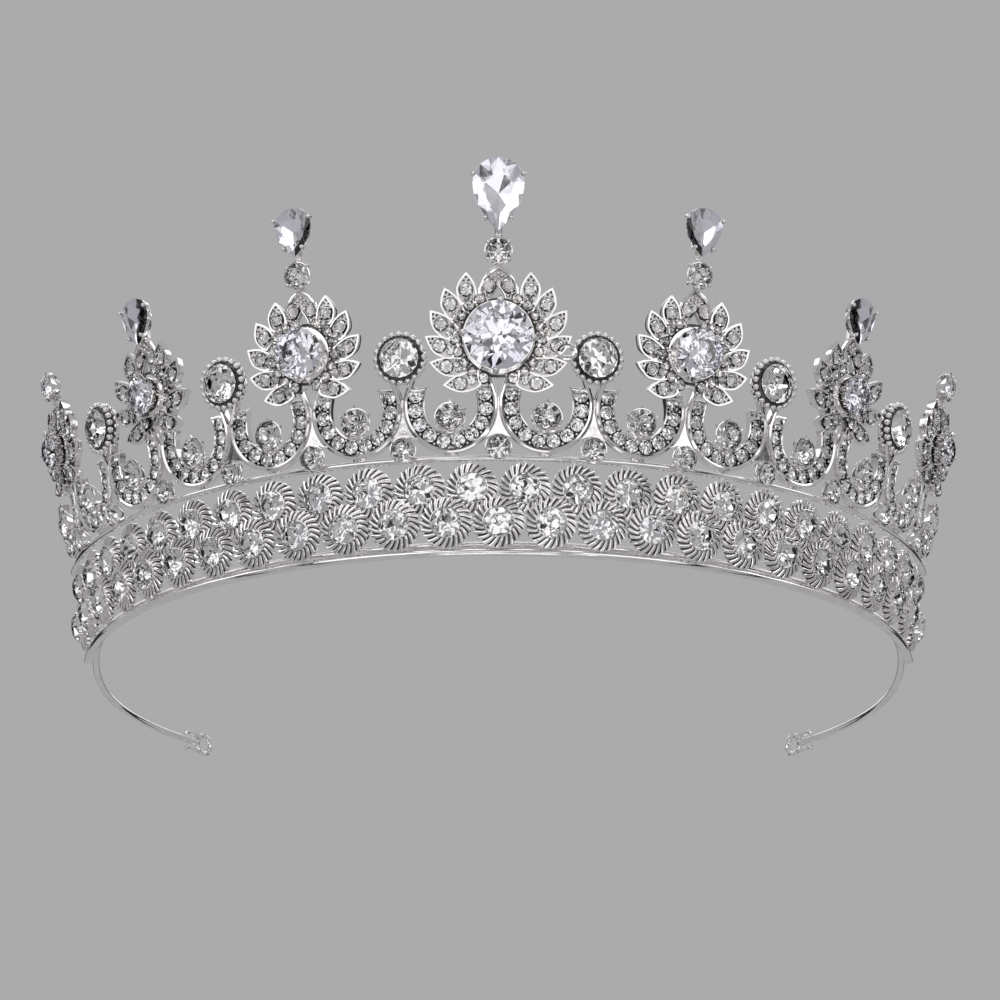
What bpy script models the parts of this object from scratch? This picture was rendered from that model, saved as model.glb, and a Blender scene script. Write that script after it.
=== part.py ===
"""Bridal tiara: a silver-plated openwork crown front on a springy wire hoop, set with clear stones.

The front is a cone-shaped wall that flares outwards. From the foot up it has a flat lower rail, a band of
two staggered rows of fluted pinwheel discs, a round upper rail, a gallery of horseshoe scrolls on stems, and
on the stems by turns leaf clusters and beaded rounds. Each leaf cluster carries a finial.

Metres, +Z up. The tiara stands on its lower rail at z = 0 and faces -Y, with +X on the right from the front.
A motif is drawn flat, with x to the right, y up the wall and z outwards, and then set on the wall.
"""

import math
from collections import namedtuple

import bmesh
import bpy
from mathutils import Matrix, Vector

# Fits
CLEARANCE = 0.0003          # gap between pieces that are soldered or set together
LAP = 0.0004                # how far the shapes of one casting run into each other

# Wall and hoop
HOOP_RADIUS = 0.0670        # back of the wall at its foot
WALL_FLARE = math.radians(10.4)
WIRE_DIAMETER = 0.0011
HOOP_DRAWN_IN = 0.0142      # each end of the hoop wire nearer to the middle than the side of the wall
HOOP_CUT_SHORT = 0.0165     # the ends in front of the back of a full circle
HOOP_END_TURN = math.radians(128)
TAIL_FULLNESS = 0.37        # pull of the curve's ends, as a share of the distance between them
TAIL_STEPS = 10
WIRE_SIDES = 6

# Eyelets at the ends of the hoop
EYELET_RADIUS = 0.0016
EYELET_WIRE = 0.0008
EYELET_STEPS = 12
EYELET_TAIL = 0.0018
EYELET_TAIL_ROOT = math.radians(40)     # where a tail leaves the ring
EYELET_TAIL_SLIM = 0.9      # thickness of a tail as a share of the ring's
EYELET_BALL = 0.0010
EYELET_BALL_TIP = 0.4       # width of the ball's end as a share of the ball's

# Rails
LOWER_RAIL_HEIGHT = 0.0009
LOWER_RAIL_WIDTH = 0.0013
LOWER_RAIL_EDGE = 0.0002
UPPER_RAIL_DIAMETER = 0.0010
UPPER_RAIL_PROUD = 0.0009
RAIL_OVERHANG = 0.0004      # rail beyond the last disc or scroll
RAIL_STEPS = 28

# Pinwheel band
PINWHEELS_IN_LOWER_ROW = 25
PINWHEEL_DIAMETER = 0.0077
PINWHEEL_ROW_GAP = 0.0004
ROW_LAP = 0.0010            # how far the discs of the two rows reach over each other
ROW_SET_BACK = 0.0006       # the upper row lies this far behind the lower one
PINWHEEL_FLUTES = 8
PINWHEEL_RIM = 0.0005       # rim over the back of the disc, before the flutes move it up and down
FLUTE_DEPTH = 0.0004
PINWHEEL_STONE = 0.0047
PINWHEEL_STONE_RISE = 0.0017
PINWHEEL_STONE_CROWN = 0.0010

# Scroll gallery
SCROLL_COUNT = 14
SCROLL_WIDTH = 0.0136
SCROLL_GAP = 0.0012         # between neighbouring scrolls, where the stem is
SCROLL_BED = 0.0029
SCROLL_ARM_HEIGHT = 0.0100
SCROLL_BOWL_DEPTH = 0.0068
SCROLL_ARM_LEAN = 0.0005
SCROLL_RIM = 0.0007
SCROLL_RIM_RISE = 0.0017
SCROLL_BED_RISE = 0.0012
BOWL_STEPS = 6

# Stems between the scrolls
STEM_BACK = 0.00015
STEM_FRONT = 0.00105
STEM_FOOT = 0.0034
STEM_HEIGHT = 0.0117
FORK_WIDTH = 0.0038
FORK_EYE_WIDTH = 0.0020
FORK_EYE_DEPTH = 0.0034

# Stones set in the gallery
CUP_STONE = 0.0046
CUP_GAP = 0.0003            # between the bowl of a scroll and the cup in it
CUP_BASE = 0.0003
CUP_BASE_SHARE = 0.6        # width of a cup's base as a share of its stone's
CUP_RIM_RISE = 0.00175
CUP_WALL = 0.0003
CUP_LUG_WIDTH = 0.0024
FOOT_STONE = 0.0039
FOOT_STONE_RISE = 0.0008    # its middle over the foot of the scrolls, in front of the rail
FOOT_STONE_BACK = 0.0005
FOOT_STONE_GIRDLE = 0.0021
FOOT_STONE_TABLE = 0.0028
FOOT_STONE_SIDES = 6

# Beaded rounds on the odd stems
BEADED_STONE = 0.0062
BEADED_EDGE = 0.0011        # bezel beyond the girdle of its stone
BEADED_BACK = 0.0003
BEADED_BEAD_RISE = 0.0018
BEADED_RIM_RISE = 0.0026
BEADED_RIM_WIDTH = 0.0009
BEAD_DEPTH = 0.00025
BEADS = 8

# Leaf clusters on the even stems, from the middle outwards: stones
CENTRE_STONE = 0.0108
INNER_STONE = 0.0080
MIDDLE_STONE = 0.0062
OUTER_STONE = 0.0058

# Middle of a cluster's stone over the cluster's foot on the stem
CENTRE_FOOT = 0.0058
INNER_FOOT = 0.0052
MIDDLE_FOOT = 0.0044
OUTER_FOOT = 0.0039

# Point at the top of a cluster over the middle of its stone
CENTRE_POINT = 0.0112
INNER_POINT = 0.0101
MIDDLE_POINT = 0.0095
OUTER_POINT = 0.0092

# Room left between a cluster's leaves and the next beaded rounds. The middle one's tips reach round them.
CENTRE_ROOM = -0.0006
INNER_ROOM = 0.0010
MIDDLE_ROOM = 0.0019
OUTER_ROOM = 0.0024

# Leaves and collets
HEAD_PROUD = 0.0012         # back of a cluster in front of the back of the wall
WREATH_SHARE = 0.72         # of a leaf's reach, where the plate ends and the leaves stand free
WREATH_SIDES = 16
PLATE_THICKNESS = 0.0019
LEAF_FIRST = math.radians(26)
LEAF_LAST = math.radians(131)
LEAF_FOOT_SHARE = 0.5       # of a leaf's reach, where it starts
LEAF_BELLY_SHARE = 0.6      # of its length, where it is widest
LEAF_SWEEP_FIRST = math.radians(15)     # foot of the topmost leaf further round than its tip
LEAF_SWEEP_LAST = math.radians(25)      # and of the lowest
LEAF_HALF_WIDTH = 0.00145
LEAF_BACK = 0.00015
LEAF_STAGGER = 0.00012      # every other leaf lies this much further out
LEAF_EDGE_RISE = 0.0007
LEAF_RIDGE_RISE = 0.0016
ARCH_SPREAD = 0.0032        # the two leaves of the point start this far from the middle
ARCH_HOLE_WIDTH = 0.0022
ARCH_HOLE_HEIGHT = 0.0021
COLLET_WALL = 0.0004
COLLET_TAPER = 0.85
COLLET_SIDES = 12
COLLET_BASE = 0.0026        # the girdle of a stone is this far over the cluster's back
COLLET_STONE_SHARE = 0.16   # and this share of its diameter more

# Finials on the points of the clusters. The outermost ones end in a round stone, the others in a pear.
FINIAL_ROUND = 0.0041       # small round stone under the pear of the middle finials
CENTRE_PEAR_LENGTH = 0.0116
CENTRE_PEAR_WIDTH = 0.0081
INNER_PEAR_LENGTH = 0.0077
INNER_PEAR_WIDTH = 0.0062
MIDDLE_PEAR_LENGTH = 0.0075
MIDDLE_PEAR_WIDTH = 0.0060
MIDDLE_DROP = 0.0014        # how far the pear hangs down in front of its post's foot
OUTER_ROUND = 0.0045
OUTER_DROP = 0.0008
FINIAL_NECK = 0.0009
FINIAL_POST_WIDTH = 0.0014
FINIAL_POST_BACK = 0.0002
FINIAL_POST_FRONT = 0.0009
FINIAL_CUP_BASE = 0.0005
FINIAL_CUP_FLOOR = 0.0004   # metal under the point of the stone
FINIAL_CUP_SIDES = 10
PEAR_BASE_SHARE = 0.5       # size of a pear cup's base as a share of its stone's
PEAR_SIDES = 14
PEAR_ROUNDNESS = 0.8

# Cut of the stones, as shares of the girdle's radius
CROWN_HEIGHT = 0.34
PAVILION_DEPTH = 0.55
TABLE_SIZE = 0.58
STONE_SEAT = 0.0003         # girdle over the rim of its setting
SMALL_STONE_SIDES = 8
STONE_SIDES = 10
LARGE_STONE_SIDES = 12

SMOOTH_ANGLE = math.radians(28)
FLAT_ANGLE = math.radians(0.1)      # faces that meet at less than this count as one
SIDES = {-1: "left", 1: "right"}
RANKS = ("centre", "inner", "middle", "outer")

# Places that follow from the sizes
PINWHEEL_RADIUS = PINWHEEL_DIAMETER / 2
PINWHEEL_PITCH = PINWHEEL_DIAMETER + PINWHEEL_ROW_GAP
ROW_RISE = math.sqrt((PINWHEEL_DIAMETER - ROW_LAP) ** 2 - (PINWHEEL_PITCH / 2) ** 2)
RIM_DROP = (PINWHEEL_RIM + FLUTE_DEPTH) * math.sin(WALL_FLARE)
LOWER_ROW = (LOWER_RAIL_HEIGHT + CLEARANCE + RIM_DROP) / math.cos(WALL_FLARE) + PINWHEEL_RADIUS
UPPER_ROW = LOWER_ROW + ROW_RISE
UPPER_RAIL = UPPER_ROW + PINWHEEL_RADIUS + CLEARANCE + UPPER_RAIL_DIAMETER / 2
SCROLL_FOOT = UPPER_RAIL + UPPER_RAIL_DIAMETER / 2 + CLEARANCE
SCROLL_PITCH = SCROLL_WIDTH + SCROLL_GAP
HEAD_SEAT = SCROLL_FOOT + STEM_HEIGHT
CUP_CENTRE = SCROLL_FOOT + SCROLL_BED + CUP_GAP + CUP_STONE / 2
BEADED_DIAMETER = BEADED_STONE + 2 * BEADED_EDGE
BEADED_CENTRE = HEAD_SEAT + BEADED_DIAMETER / 2 - 2 * LAP


def wall_radius(rise, proud=0.0):
    """Distance of a point of the wall from the hoop's axis, at a height up the wall and a depth out of it."""
    return HOOP_RADIUS + rise * math.sin(WALL_FLARE) + proud * math.cos(WALL_FLARE)


PINWHEEL_STEP = PINWHEEL_PITCH / wall_radius((LOWER_ROW + UPPER_ROW) / 2, PINWHEEL_RIM)
SCROLL_STEP = SCROLL_PITCH / wall_radius(SCROLL_FOOT + SCROLL_BOWL_DEPTH, SCROLL_BED_RISE / 2)
STEM_LAST = SCROLL_COUNT // 2 - 1
BAND_HALF_ANGLE = RAIL_OVERHANG / HOOP_RADIUS + PINWHEELS_IN_LOWER_ROW * PINWHEEL_STEP / 2
GALLERY_HALF_ANGLE = RAIL_OVERHANG / HOOP_RADIUS + SCROLL_COUNT * SCROLL_STEP / 2
WIRE_RISE = EYELET_RADIUS + EYELET_WIRE / 2
WIRE_RADIUS = wall_radius(WIRE_RISE) - CLEARANCE - WIRE_DIAMETER / 2
LEAF_LIMIT = wall_radius(HEAD_SEAT, HEAD_PROUD) * SCROLL_STEP - BEADED_DIAMETER / 2

# Clusters and finials, from the middle outwards
Cluster = namedtuple("Cluster", "leaves reach foot point stone")
CLUSTERS = (
    Cluster(6, LEAF_LIMIT - CENTRE_ROOM, CENTRE_FOOT, CENTRE_POINT, CENTRE_STONE),
    Cluster(5, LEAF_LIMIT - INNER_ROOM, INNER_FOOT, INNER_POINT, INNER_STONE),
    Cluster(4, LEAF_LIMIT - MIDDLE_ROOM, MIDDLE_FOOT, MIDDLE_POINT, MIDDLE_STONE),
    Cluster(4, LEAF_LIMIT - OUTER_ROOM, OUTER_FOOT, OUTER_POINT, OUTER_STONE),
)
Finial = namedtuple("Finial", "round_stone length width drop")
FINIALS = (
    Finial(FINIAL_ROUND, CENTRE_PEAR_LENGTH, CENTRE_PEAR_WIDTH, 0),
    Finial(FINIAL_ROUND, INNER_PEAR_LENGTH, INNER_PEAR_WIDTH, 0),
    Finial(0, MIDDLE_PEAR_LENGTH, MIDDLE_PEAR_WIDTH, MIDDLE_DROP),
    Finial(0, OUTER_ROUND, OUTER_ROUND, OUTER_DROP),
)


def on_wall(angle, rise=0.0, proud=0.0):
    """Matrix of a motif's own axes at a place on the wall: x along it, y up it and z out of it."""
    out = Vector((math.sin(angle), -math.cos(angle), 0))
    along = Vector((math.cos(angle), math.sin(angle), 0))
    up = out * math.sin(WALL_FLARE) + Vector((0, 0, math.cos(WALL_FLARE)))
    normal = along.cross(up)
    place = out * HOOP_RADIUS + up * rise + normal * proud
    turn = Matrix((along, up, normal)).transposed().to_4x4()
    return Matrix.Translation(place) @ turn


# Shapes

def bridge(mesh, lower, upper):
    """Triangles between two closed loops of points, which may have different numbers of them."""
    i = j = 0
    while i < len(lower) or j < len(upper):
        a = lower[i % len(lower)]
        b = upper[j % len(upper)]
        lower_next = (i + 1) * len(upper) <= (j + 1) * len(lower)
        if len(lower) > 1 and i < len(lower) and (lower_next or j >= len(upper) or len(upper) == 1):
            mesh.faces.new((a, lower[(i + 1) % len(lower)], b))
            i += 1
        elif len(upper) > 1 and j < len(upper):
            mesh.faces.new((a, upper[(j + 1) % len(upper)], b))
            j += 1
        else:
            break


def loft(rings, closed=False):
    """Solid through rings of points. A ring of one point is a tip, and a closed loft joins its ends."""
    mesh = bmesh.new()
    loops = [[mesh.verts.new(point) for point in ring] for ring in rings]
    for lower, upper in zip(loops, loops[1:] + loops[:1] if closed else loops[1:]):
        bridge(mesh, lower, upper)
    if not closed:
        for end in (loops[0], loops[-1]):
            if len(end) > 2:
                mesh.faces.new(end)
    mesh.normal_update()
    bmesh.ops.triangulate(mesh, faces=mesh.faces)
    bmesh.ops.recalc_face_normals(mesh, faces=mesh.faces)
    data = bpy.data.meshes.new("solid")
    mesh.to_mesh(data)
    mesh.free()
    return data


def turns(count):
    """Angles at even steps round a circle."""
    return [2 * math.pi * i / count for i in range(count)]


def circle(radius, height, sides, ripple=0.0):
    """Ring about z. A ripple moves every other point in by that much."""
    if radius == 0:
        return [Vector((0, 0, height))]
    ring = []
    for i, angle in enumerate(turns(sides)):
        reach = radius - ripple * (i % 2)
        ring.append(Vector((reach * math.sin(angle), reach * math.cos(angle), height)))
    return ring


def turned(profile, sides):
    """Turned solid about z from pairs of radius and height."""
    return loft([circle(radius, height, sides) for radius, height in profile])


def prism(outline, back, front):
    """Flat outline given thickness along z."""
    return loft([[Vector((x, y, height)) for x, y in outline] for height in (back, front)])


def pavilion_radius(radius, depth):
    """Radius of a stone at a depth under its girdle."""
    return radius - depth / PAVILION_DEPTH


def brilliant(diameter, sides):
    """Round stone, girdle at z = 0, with a pointed back and a table of half as many sides."""
    radius = diameter / 2
    tip = [Vector((0, 0, -radius * PAVILION_DEPTH))]
    table = circle(radius * TABLE_SIZE, radius * CROWN_HEIGHT, sides // 2)
    return loft([tip, circle(radius, 0, sides), table])


def setting(diameter, girdle, base, wall, sides):
    """Profile of a cup for a round stone: out along its base, up its side, and down into its pocket."""
    rim = girdle - STONE_SEAT
    pocket = pavilion_radius(diameter / 2, STONE_SEAT) + CLEARANCE
    return turned([
        (0, base),
        (diameter / 2 * CUP_BASE_SHARE, base),
        (pocket + wall, rim),
        (pocket, rim),
        (0, rim - pocket * PAVILION_DEPTH),
    ], sides)


def pear_ring(length, width, height, share=1.0):
    """Ring of a pear shape with its point downwards, drawn in towards its middle by a share."""
    ring = []
    widest = max(pear_half(step / 100) for step in range(1, 100))
    for i in range(PEAR_SIDES):
        turn = i / PEAR_SIDES
        half = pear_half(turn) / widest * width / 2
        ring.append(Vector((half * share, -length / 2 * math.cos(2 * math.pi * turn) * share, height)))
    return ring


def pear_half(turn):
    """Half the width of a pear shape, before scaling, at a share of the way round from its point."""
    angle = 2 * math.pi * turn
    return -math.sin(angle) * abs(math.sin(angle / 2)) ** PEAR_ROUNDNESS


# Objects

def metal(name, colour, roughness):
    material = bpy.data.materials.new(name)
    material.use_nodes = True
    shader = material.node_tree.nodes["Principled BSDF"]
    shader.inputs["Base Color"].default_value = (*colour, 1)
    shader.inputs["Metallic"].default_value = 1.0
    shader.inputs["Roughness"].default_value = roughness
    return material


def crystal(name, colour, roughness, index):
    material = bpy.data.materials.new(name)
    material.use_nodes = True
    shader = material.node_tree.nodes["Principled BSDF"]
    shader.inputs["Base Color"].default_value = (*colour, 1)
    shader.inputs["Roughness"].default_value = roughness
    shader.inputs["IOR"].default_value = index
    shader.inputs["Transmission Weight"].default_value = 1.0
    return material


def piece(name, data, material, matrix=Matrix()):
    """Object of the tiara. A mesh is shaded smooth where its faces meet at a low angle."""
    obj = bpy.data.objects.new(name, data)
    data.materials.append(material)
    if isinstance(data, bpy.types.Mesh):
        data.shade_smooth()
        data.set_sharp_from_angle(angle=SMOOTH_ANGLE)
    bpy.context.collection.objects.link(obj)
    obj.parent = tiara
    obj.matrix_world = matrix
    return obj


def moved(data, matrix):
    copy = data.copy()
    copy.transform(matrix)
    return copy


def cast(bodies, holes=()):
    """One solid from bodies that run into each other, less the holes."""
    base = bpy.data.objects.new("casting", bodies[0])
    bpy.context.collection.objects.link(base)
    helpers = []
    for operation, solids in (("UNION", bodies[1:]), ("DIFFERENCE", holes)):
        if not solids:
            continue
        group = bpy.data.collections.new("casting parts")
        for data in solids:
            helper = bpy.data.objects.new("casting part", data)
            group.objects.link(helper)
            helpers.append(helper)
        joined = base.modifiers.new(operation.lower(), "BOOLEAN")
        joined.operation = operation
        joined.operand_type = "COLLECTION"
        joined.collection = group
        joined.solver = "EXACT"
    graph = bpy.context.evaluated_depsgraph_get()
    data = bpy.data.meshes.new_from_object(base.evaluated_get(graph))
    for helper in helpers + [base]:
        bpy.data.objects.remove(helper)
    return cleaned(data)


def cleaned(data):
    """Casting without the needless points that its union left along flat faces."""
    mesh = bmesh.new()
    mesh.from_mesh(data)
    bmesh.ops.dissolve_limit(mesh, angle_limit=FLAT_ANGLE, verts=mesh.verts, edges=mesh.edges)
    bmesh.ops.triangulate(mesh, faces=mesh.faces)
    mesh.to_mesh(data)
    mesh.free()
    return data


# Hoop wire and eyelets

def hoop_tail():
    """Points of the right-hand end of the hoop wire, from the band to its tip, and its heading at the tip."""
    leave = Vector((math.cos(BAND_HALF_ANGLE), math.sin(BAND_HALF_ANGLE), 0))
    arrive = Vector((math.cos(HOOP_END_TURN), math.sin(HOOP_END_TURN), 0))
    start = Vector((WIRE_RADIUS * leave.y, -WIRE_RADIUS * leave.x, WIRE_RISE))
    end = Vector((HOOP_RADIUS - HOOP_DRAWN_IN, HOOP_RADIUS - HOOP_CUT_SHORT, WIRE_RISE))
    reach = (end - start).length * TAIL_FULLNESS
    points = []
    for i in range(1, TAIL_STEPS + 1):
        t = i / TAIL_STEPS
        points.append(
            start * (1 - t) ** 3
            + (start + leave * reach) * 3 * t * (1 - t) ** 2
            + (end - arrive * reach) * 3 * t ** 2 * (1 - t)
            + end * t ** 3
        )
    return points, arrive


def hoop_wire():
    tail, _ = hoop_tail()
    path = [Vector((-p.x, p.y, p.z)) for p in reversed(tail)]
    for i in range(RAIL_STEPS + 1):
        angle = BAND_HALF_ANGLE * (2 * i / RAIL_STEPS - 1)
        path.append(Vector((WIRE_RADIUS * math.sin(angle), -WIRE_RADIUS * math.cos(angle), WIRE_RISE)))
    path += tail
    curve = bpy.data.curves.new("hoop_wire", "CURVE")
    curve.dimensions = "3D"
    curve.bevel_depth = WIRE_DIAMETER / 2
    curve.bevel_resolution = 1
    curve.use_fill_caps = True
    spline = curve.splines.new("POLY")
    spline.points.add(len(path) - 1)
    for point, place in zip(spline.points, path):
        point.co = (*place, 1)
    return piece("hoop_wire", curve, silver)


def eyelet(side):
    """Upright ring at an end of the hoop wire. Two ball-ended tails run back over and under the wire."""
    tail, heading = hoop_tail()
    wire = EYELET_WIRE / 2
    middle = CLEARANCE + wire + EYELET_RADIUS
    rings = []
    for angle in turns(EYELET_STEPS):
        out = Vector((math.cos(angle), 0, math.sin(angle)))
        centre = Vector((middle, 0, 0)) + out * EYELET_RADIUS
        section = [out * math.cos(t) + Vector((0, math.sin(t), 0)) for t in turns(WIRE_SIDES)]
        rings.append([centre + wire * point for point in section])
    bodies = [loft(rings, closed=True)]
    ball = EYELET_BALL / 2
    slim = wire * EYELET_TAIL_SLIM
    root_x = middle - EYELET_RADIUS * math.cos(EYELET_TAIL_ROOT)
    root_z = EYELET_RADIUS * math.sin(EYELET_TAIL_ROOT)
    offset = WIRE_DIAMETER / 2 + CLEARANCE + ball
    section = [Vector((0, math.cos(t), math.sin(t))) for t in turns(WIRE_SIDES)]
    for sign in (-1, 1):
        stops = (
            (root_x, root_z, slim),
            (-EYELET_TAIL / 2, offset, slim),
            (-EYELET_TAIL, offset, ball),
            (-EYELET_TAIL - ball, offset, ball),
            (-EYELET_TAIL - 2 * ball, offset, ball * EYELET_BALL_TIP),
        )
        rings = [[Vector((x, 0, sign * z)) + r * point for point in section] for x, z, r in stops]
        bodies.append(loft(rings))
    end = tail[-1]
    ahead = Vector((side * heading.x, heading.y, 0))
    aside = Vector((0, 0, 1)).cross(ahead)
    turn = Matrix((ahead, aside, Vector((0, 0, 1)))).transposed().to_4x4()
    place = Matrix.Translation(Vector((side * end.x, end.y, end.z))) @ turn
    return piece("eyelet_" + SIDES[side], cast(bodies), silver, place)


# Rails

def swept_rail(section, half_angle):
    """Solid along the wall from a section of pairs of radius and height."""
    rings = []
    for i in range(RAIL_STEPS + 1):
        angle = half_angle * (2 * i / RAIL_STEPS - 1)
        rings.append([Vector((r * math.sin(angle), -r * math.cos(angle), z)) for r, z in section])
    return loft(rings)


def lower_rail():
    inner = HOOP_RADIUS
    outer = HOOP_RADIUS + LOWER_RAIL_WIDTH
    section = (
        (inner, 0),
        (outer, 0),
        (outer + LOWER_RAIL_EDGE, LOWER_RAIL_HEIGHT / 2),
        (outer, LOWER_RAIL_HEIGHT),
        (inner, LOWER_RAIL_HEIGHT),
    )
    return piece("lower_rail", swept_rail(section, BAND_HALF_ANGLE), silver)


def upper_rail():
    middle = on_wall(0, UPPER_RAIL, UPPER_RAIL_PROUD).translation
    half = UPPER_RAIL_DIAMETER / 2
    section = [(-middle.y + half * math.cos(t), middle.z + half * math.sin(t)) for t in turns(WIRE_SIDES)]
    return piece("upper_rail", swept_rail(section, GALLERY_HALF_ANGLE), silver)


# Pinwheel band

def pinwheel():
    """Fluted disc with its stone: a pointed back, a rim that goes up and down, and flutes up to the stone."""
    rim = circle(PINWHEEL_RADIUS, PINWHEEL_RIM, 2 * PINWHEEL_FLUTES)
    for i, point in enumerate(rim):
        point.z += FLUTE_DEPTH if i % 2 else -FLUTE_DEPTH / 2
    girdle = circle(PINWHEEL_STONE / 2, PINWHEEL_STONE_RISE, PINWHEEL_FLUTES)
    table_rise = PINWHEEL_STONE_RISE + PINWHEEL_STONE_CROWN
    table = circle(PINWHEEL_STONE / 2 * TABLE_SIZE, table_rise, PINWHEEL_FLUTES // 2)
    return loft([[Vector((0, 0, 0))], rim, girdle, table])


def pinwheel_band():
    disc = pinwheel()
    discs = []
    rows = ((PINWHEELS_IN_LOWER_ROW, LOWER_ROW, 0), (PINWHEELS_IN_LOWER_ROW - 1, UPPER_ROW, -ROW_SET_BACK))
    for count, row_rise, proud in rows:
        for i in range(count):
            angle = (i - (count - 1) / 2) * PINWHEEL_STEP
            discs.append(moved(disc, on_wall(angle, row_rise, proud)))
    return piece("pinwheel_band", cast(discs), silver)


# Scroll gallery

def scroll():
    """Horseshoe channel with a raised outer rim, middle of its bowl at x = 0 and y up the wall."""
    half = (SCROLL_WIDTH - SCROLL_BED) / 2
    shoulder = SCROLL_FOOT + SCROLL_BOWL_DEPTH
    depth = SCROLL_BOWL_DEPTH - SCROLL_BED / 2
    path = [Vector((-half + SCROLL_ARM_LEAN, SCROLL_FOOT + SCROLL_ARM_HEIGHT))]
    for i in range(BOWL_STEPS + 1):
        angle = math.pi * i / BOWL_STEPS
        path.append(Vector((-half * math.cos(angle), shoulder - depth * math.sin(angle))))
    path.append(Vector((half - SCROLL_ARM_LEAN, SCROLL_FOOT + SCROLL_ARM_HEIGHT)))
    edge = SCROLL_BED / 2
    section = (
        (-edge, 0),
        (edge, 0),
        (edge, SCROLL_RIM_RISE),
        (edge - SCROLL_RIM, SCROLL_BED_RISE),
        (-edge, SCROLL_BED_RISE),
    )
    rings = []
    for i, point in enumerate(path):
        ahead = (path[min(i + 1, len(path) - 1)] - path[max(i - 1, 0)]).normalized()
        outward = Vector((ahead.y, -ahead.x))
        rings.append([Vector((*(point + outward * s), rise)) for s, rise in section])
    return loft(rings)


def stem():
    """Bar between two scrolls that forks under what it carries."""
    foot = STEM_FOOT / 2
    waist = SCROLL_GAP / 2 + LAP
    low = SCROLL_FOOT + SCROLL_BOWL_DEPTH
    eye = HEAD_SEAT - FORK_EYE_DEPTH
    high = eye - waist
    right = (
        (foot, SCROLL_FOOT),
        (waist, low),
        (waist, high),
        (FORK_WIDTH / 2, HEAD_SEAT),
        (FORK_EYE_WIDTH / 2, HEAD_SEAT),
    )
    outline = list(right) + [(0, eye)] + [(-x, y) for x, y in reversed(right)]
    return prism(outline, STEM_BACK, STEM_FRONT)


def foot_stone():
    """Small stone on the foot of a stem, cast with its cup."""
    radius = FOOT_STONE / 2
    profile = ((0, FOOT_STONE_BACK), (radius, FOOT_STONE_GIRDLE), (radius * TABLE_SIZE, FOOT_STONE_TABLE))
    return moved(turned(profile, FOOT_STONE_SIDES), Matrix.Translation((0, SCROLL_FOOT + FOOT_STONE_RISE, 0)))


def beaded_bezel():
    """Cup of a beaded round, with a row of beads round its edge."""
    radius = BEADED_DIAMETER / 2
    pocket = pavilion_radius(BEADED_STONE / 2, STONE_SEAT) + CLEARANCE
    sides = 2 * BEADS
    rings = [
        circle(0, BEADED_BACK, BEADS),
        circle(radius - BEADED_RIM_WIDTH, BEADED_BACK, sides),
        circle(radius, BEADED_BEAD_RISE, sides, BEAD_DEPTH),
        circle(pocket + BEADED_RIM_WIDTH, BEADED_RIM_RISE, sides),
        circle(pocket, BEADED_RIM_RISE, BEADS),
        circle(0, BEADED_RIM_RISE - pocket * PAVILION_DEPTH, BEADS),
    ]
    return moved(loft(rings), Matrix.Translation((0, BEADED_CENTRE, 0)))


def stone_cup():
    """Cup in the bowl of a scroll, and the lug under it that holds it to the bowl."""
    radius = CUP_STONE / 2
    cup = setting(CUP_STONE, CUP_RIM_RISE + STONE_SEAT, CUP_BASE, CUP_WALL, SMALL_STONE_SIDES)
    half = CUP_LUG_WIDTH / 2
    low = SCROLL_FOOT + SCROLL_BED - LAP
    lug = ((-half, low), (half, low), (half, CUP_CENTRE - radius / 2), (-half, CUP_CENTRE - radius / 2))
    back = CUP_BASE / 2
    return [moved(cup, Matrix.Translation((0, CUP_CENTRE, 0))), prism(lug, back, SCROLL_BED_RISE - LAP / 2)]


def scroll_angles():
    return [(i - (SCROLL_COUNT - 1) / 2) * SCROLL_STEP for i in range(SCROLL_COUNT)]


def stem_indices():
    return range(-STEM_LAST, STEM_LAST + 1)


def scroll_gallery():
    bodies = []
    for angle in scroll_angles():
        for body in [scroll()] + stone_cup():
            bodies.append(moved(body, on_wall(angle)))
    for index in stem_indices():
        parts = [stem(), foot_stone()]
        if index % 2:
            parts.append(beaded_bezel())
        bodies += [moved(body, on_wall(index * SCROLL_STEP)) for body in parts]
    return piece("scroll_gallery", cast(bodies), silver)


def gallery_stones():
    for i, angle in enumerate(scroll_angles()):
        side = -1 if i < SCROLL_COUNT / 2 else 1
        place = i + 1 - SCROLL_COUNT // 2 if side > 0 else SCROLL_COUNT // 2 - i
        name = "cup_stone_%s_%d" % (SIDES[side], place)
        matrix = on_wall(angle, CUP_CENTRE, CUP_RIM_RISE + STONE_SEAT)
        piece(name, brilliant(CUP_STONE, STONE_SIDES), rhinestone, matrix)
    for index in stem_indices():
        if index % 2:
            name = "beaded_stone_%s_%d" % (SIDES[1 if index > 0 else -1], abs(index) // 2 + 1)
            matrix = on_wall(index * SCROLL_STEP, BEADED_CENTRE, BEADED_RIM_RISE + STONE_SEAT)
            piece(name, brilliant(BEADED_STONE, STONE_SIDES), rhinestone, matrix)


# Leaf clusters

def leaf(foot, tip, half_width, lift):
    """Pointed leaf between two places, with a ridge along its middle and its belly the thickest."""
    ahead = (tip - foot).normalized()
    aside = Vector((-ahead.y, ahead.x, 0)) * half_width
    belly = foot.lerp(tip, LEAF_BELLY_SHARE)
    edge = Vector((0, 0, LEAF_EDGE_RISE + lift))
    outline = [point + edge for point in (foot, belly - aside, tip, belly + aside)]
    back = belly + Vector((0, 0, LEAF_BACK + lift))
    ridge = belly + Vector((0, 0, LEAF_RIDGE_RISE + lift))
    return loft([[back], outline, [ridge]])


def polar(radius, angle):
    return Vector((radius * math.sin(angle), radius * math.cos(angle), 0))


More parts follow.
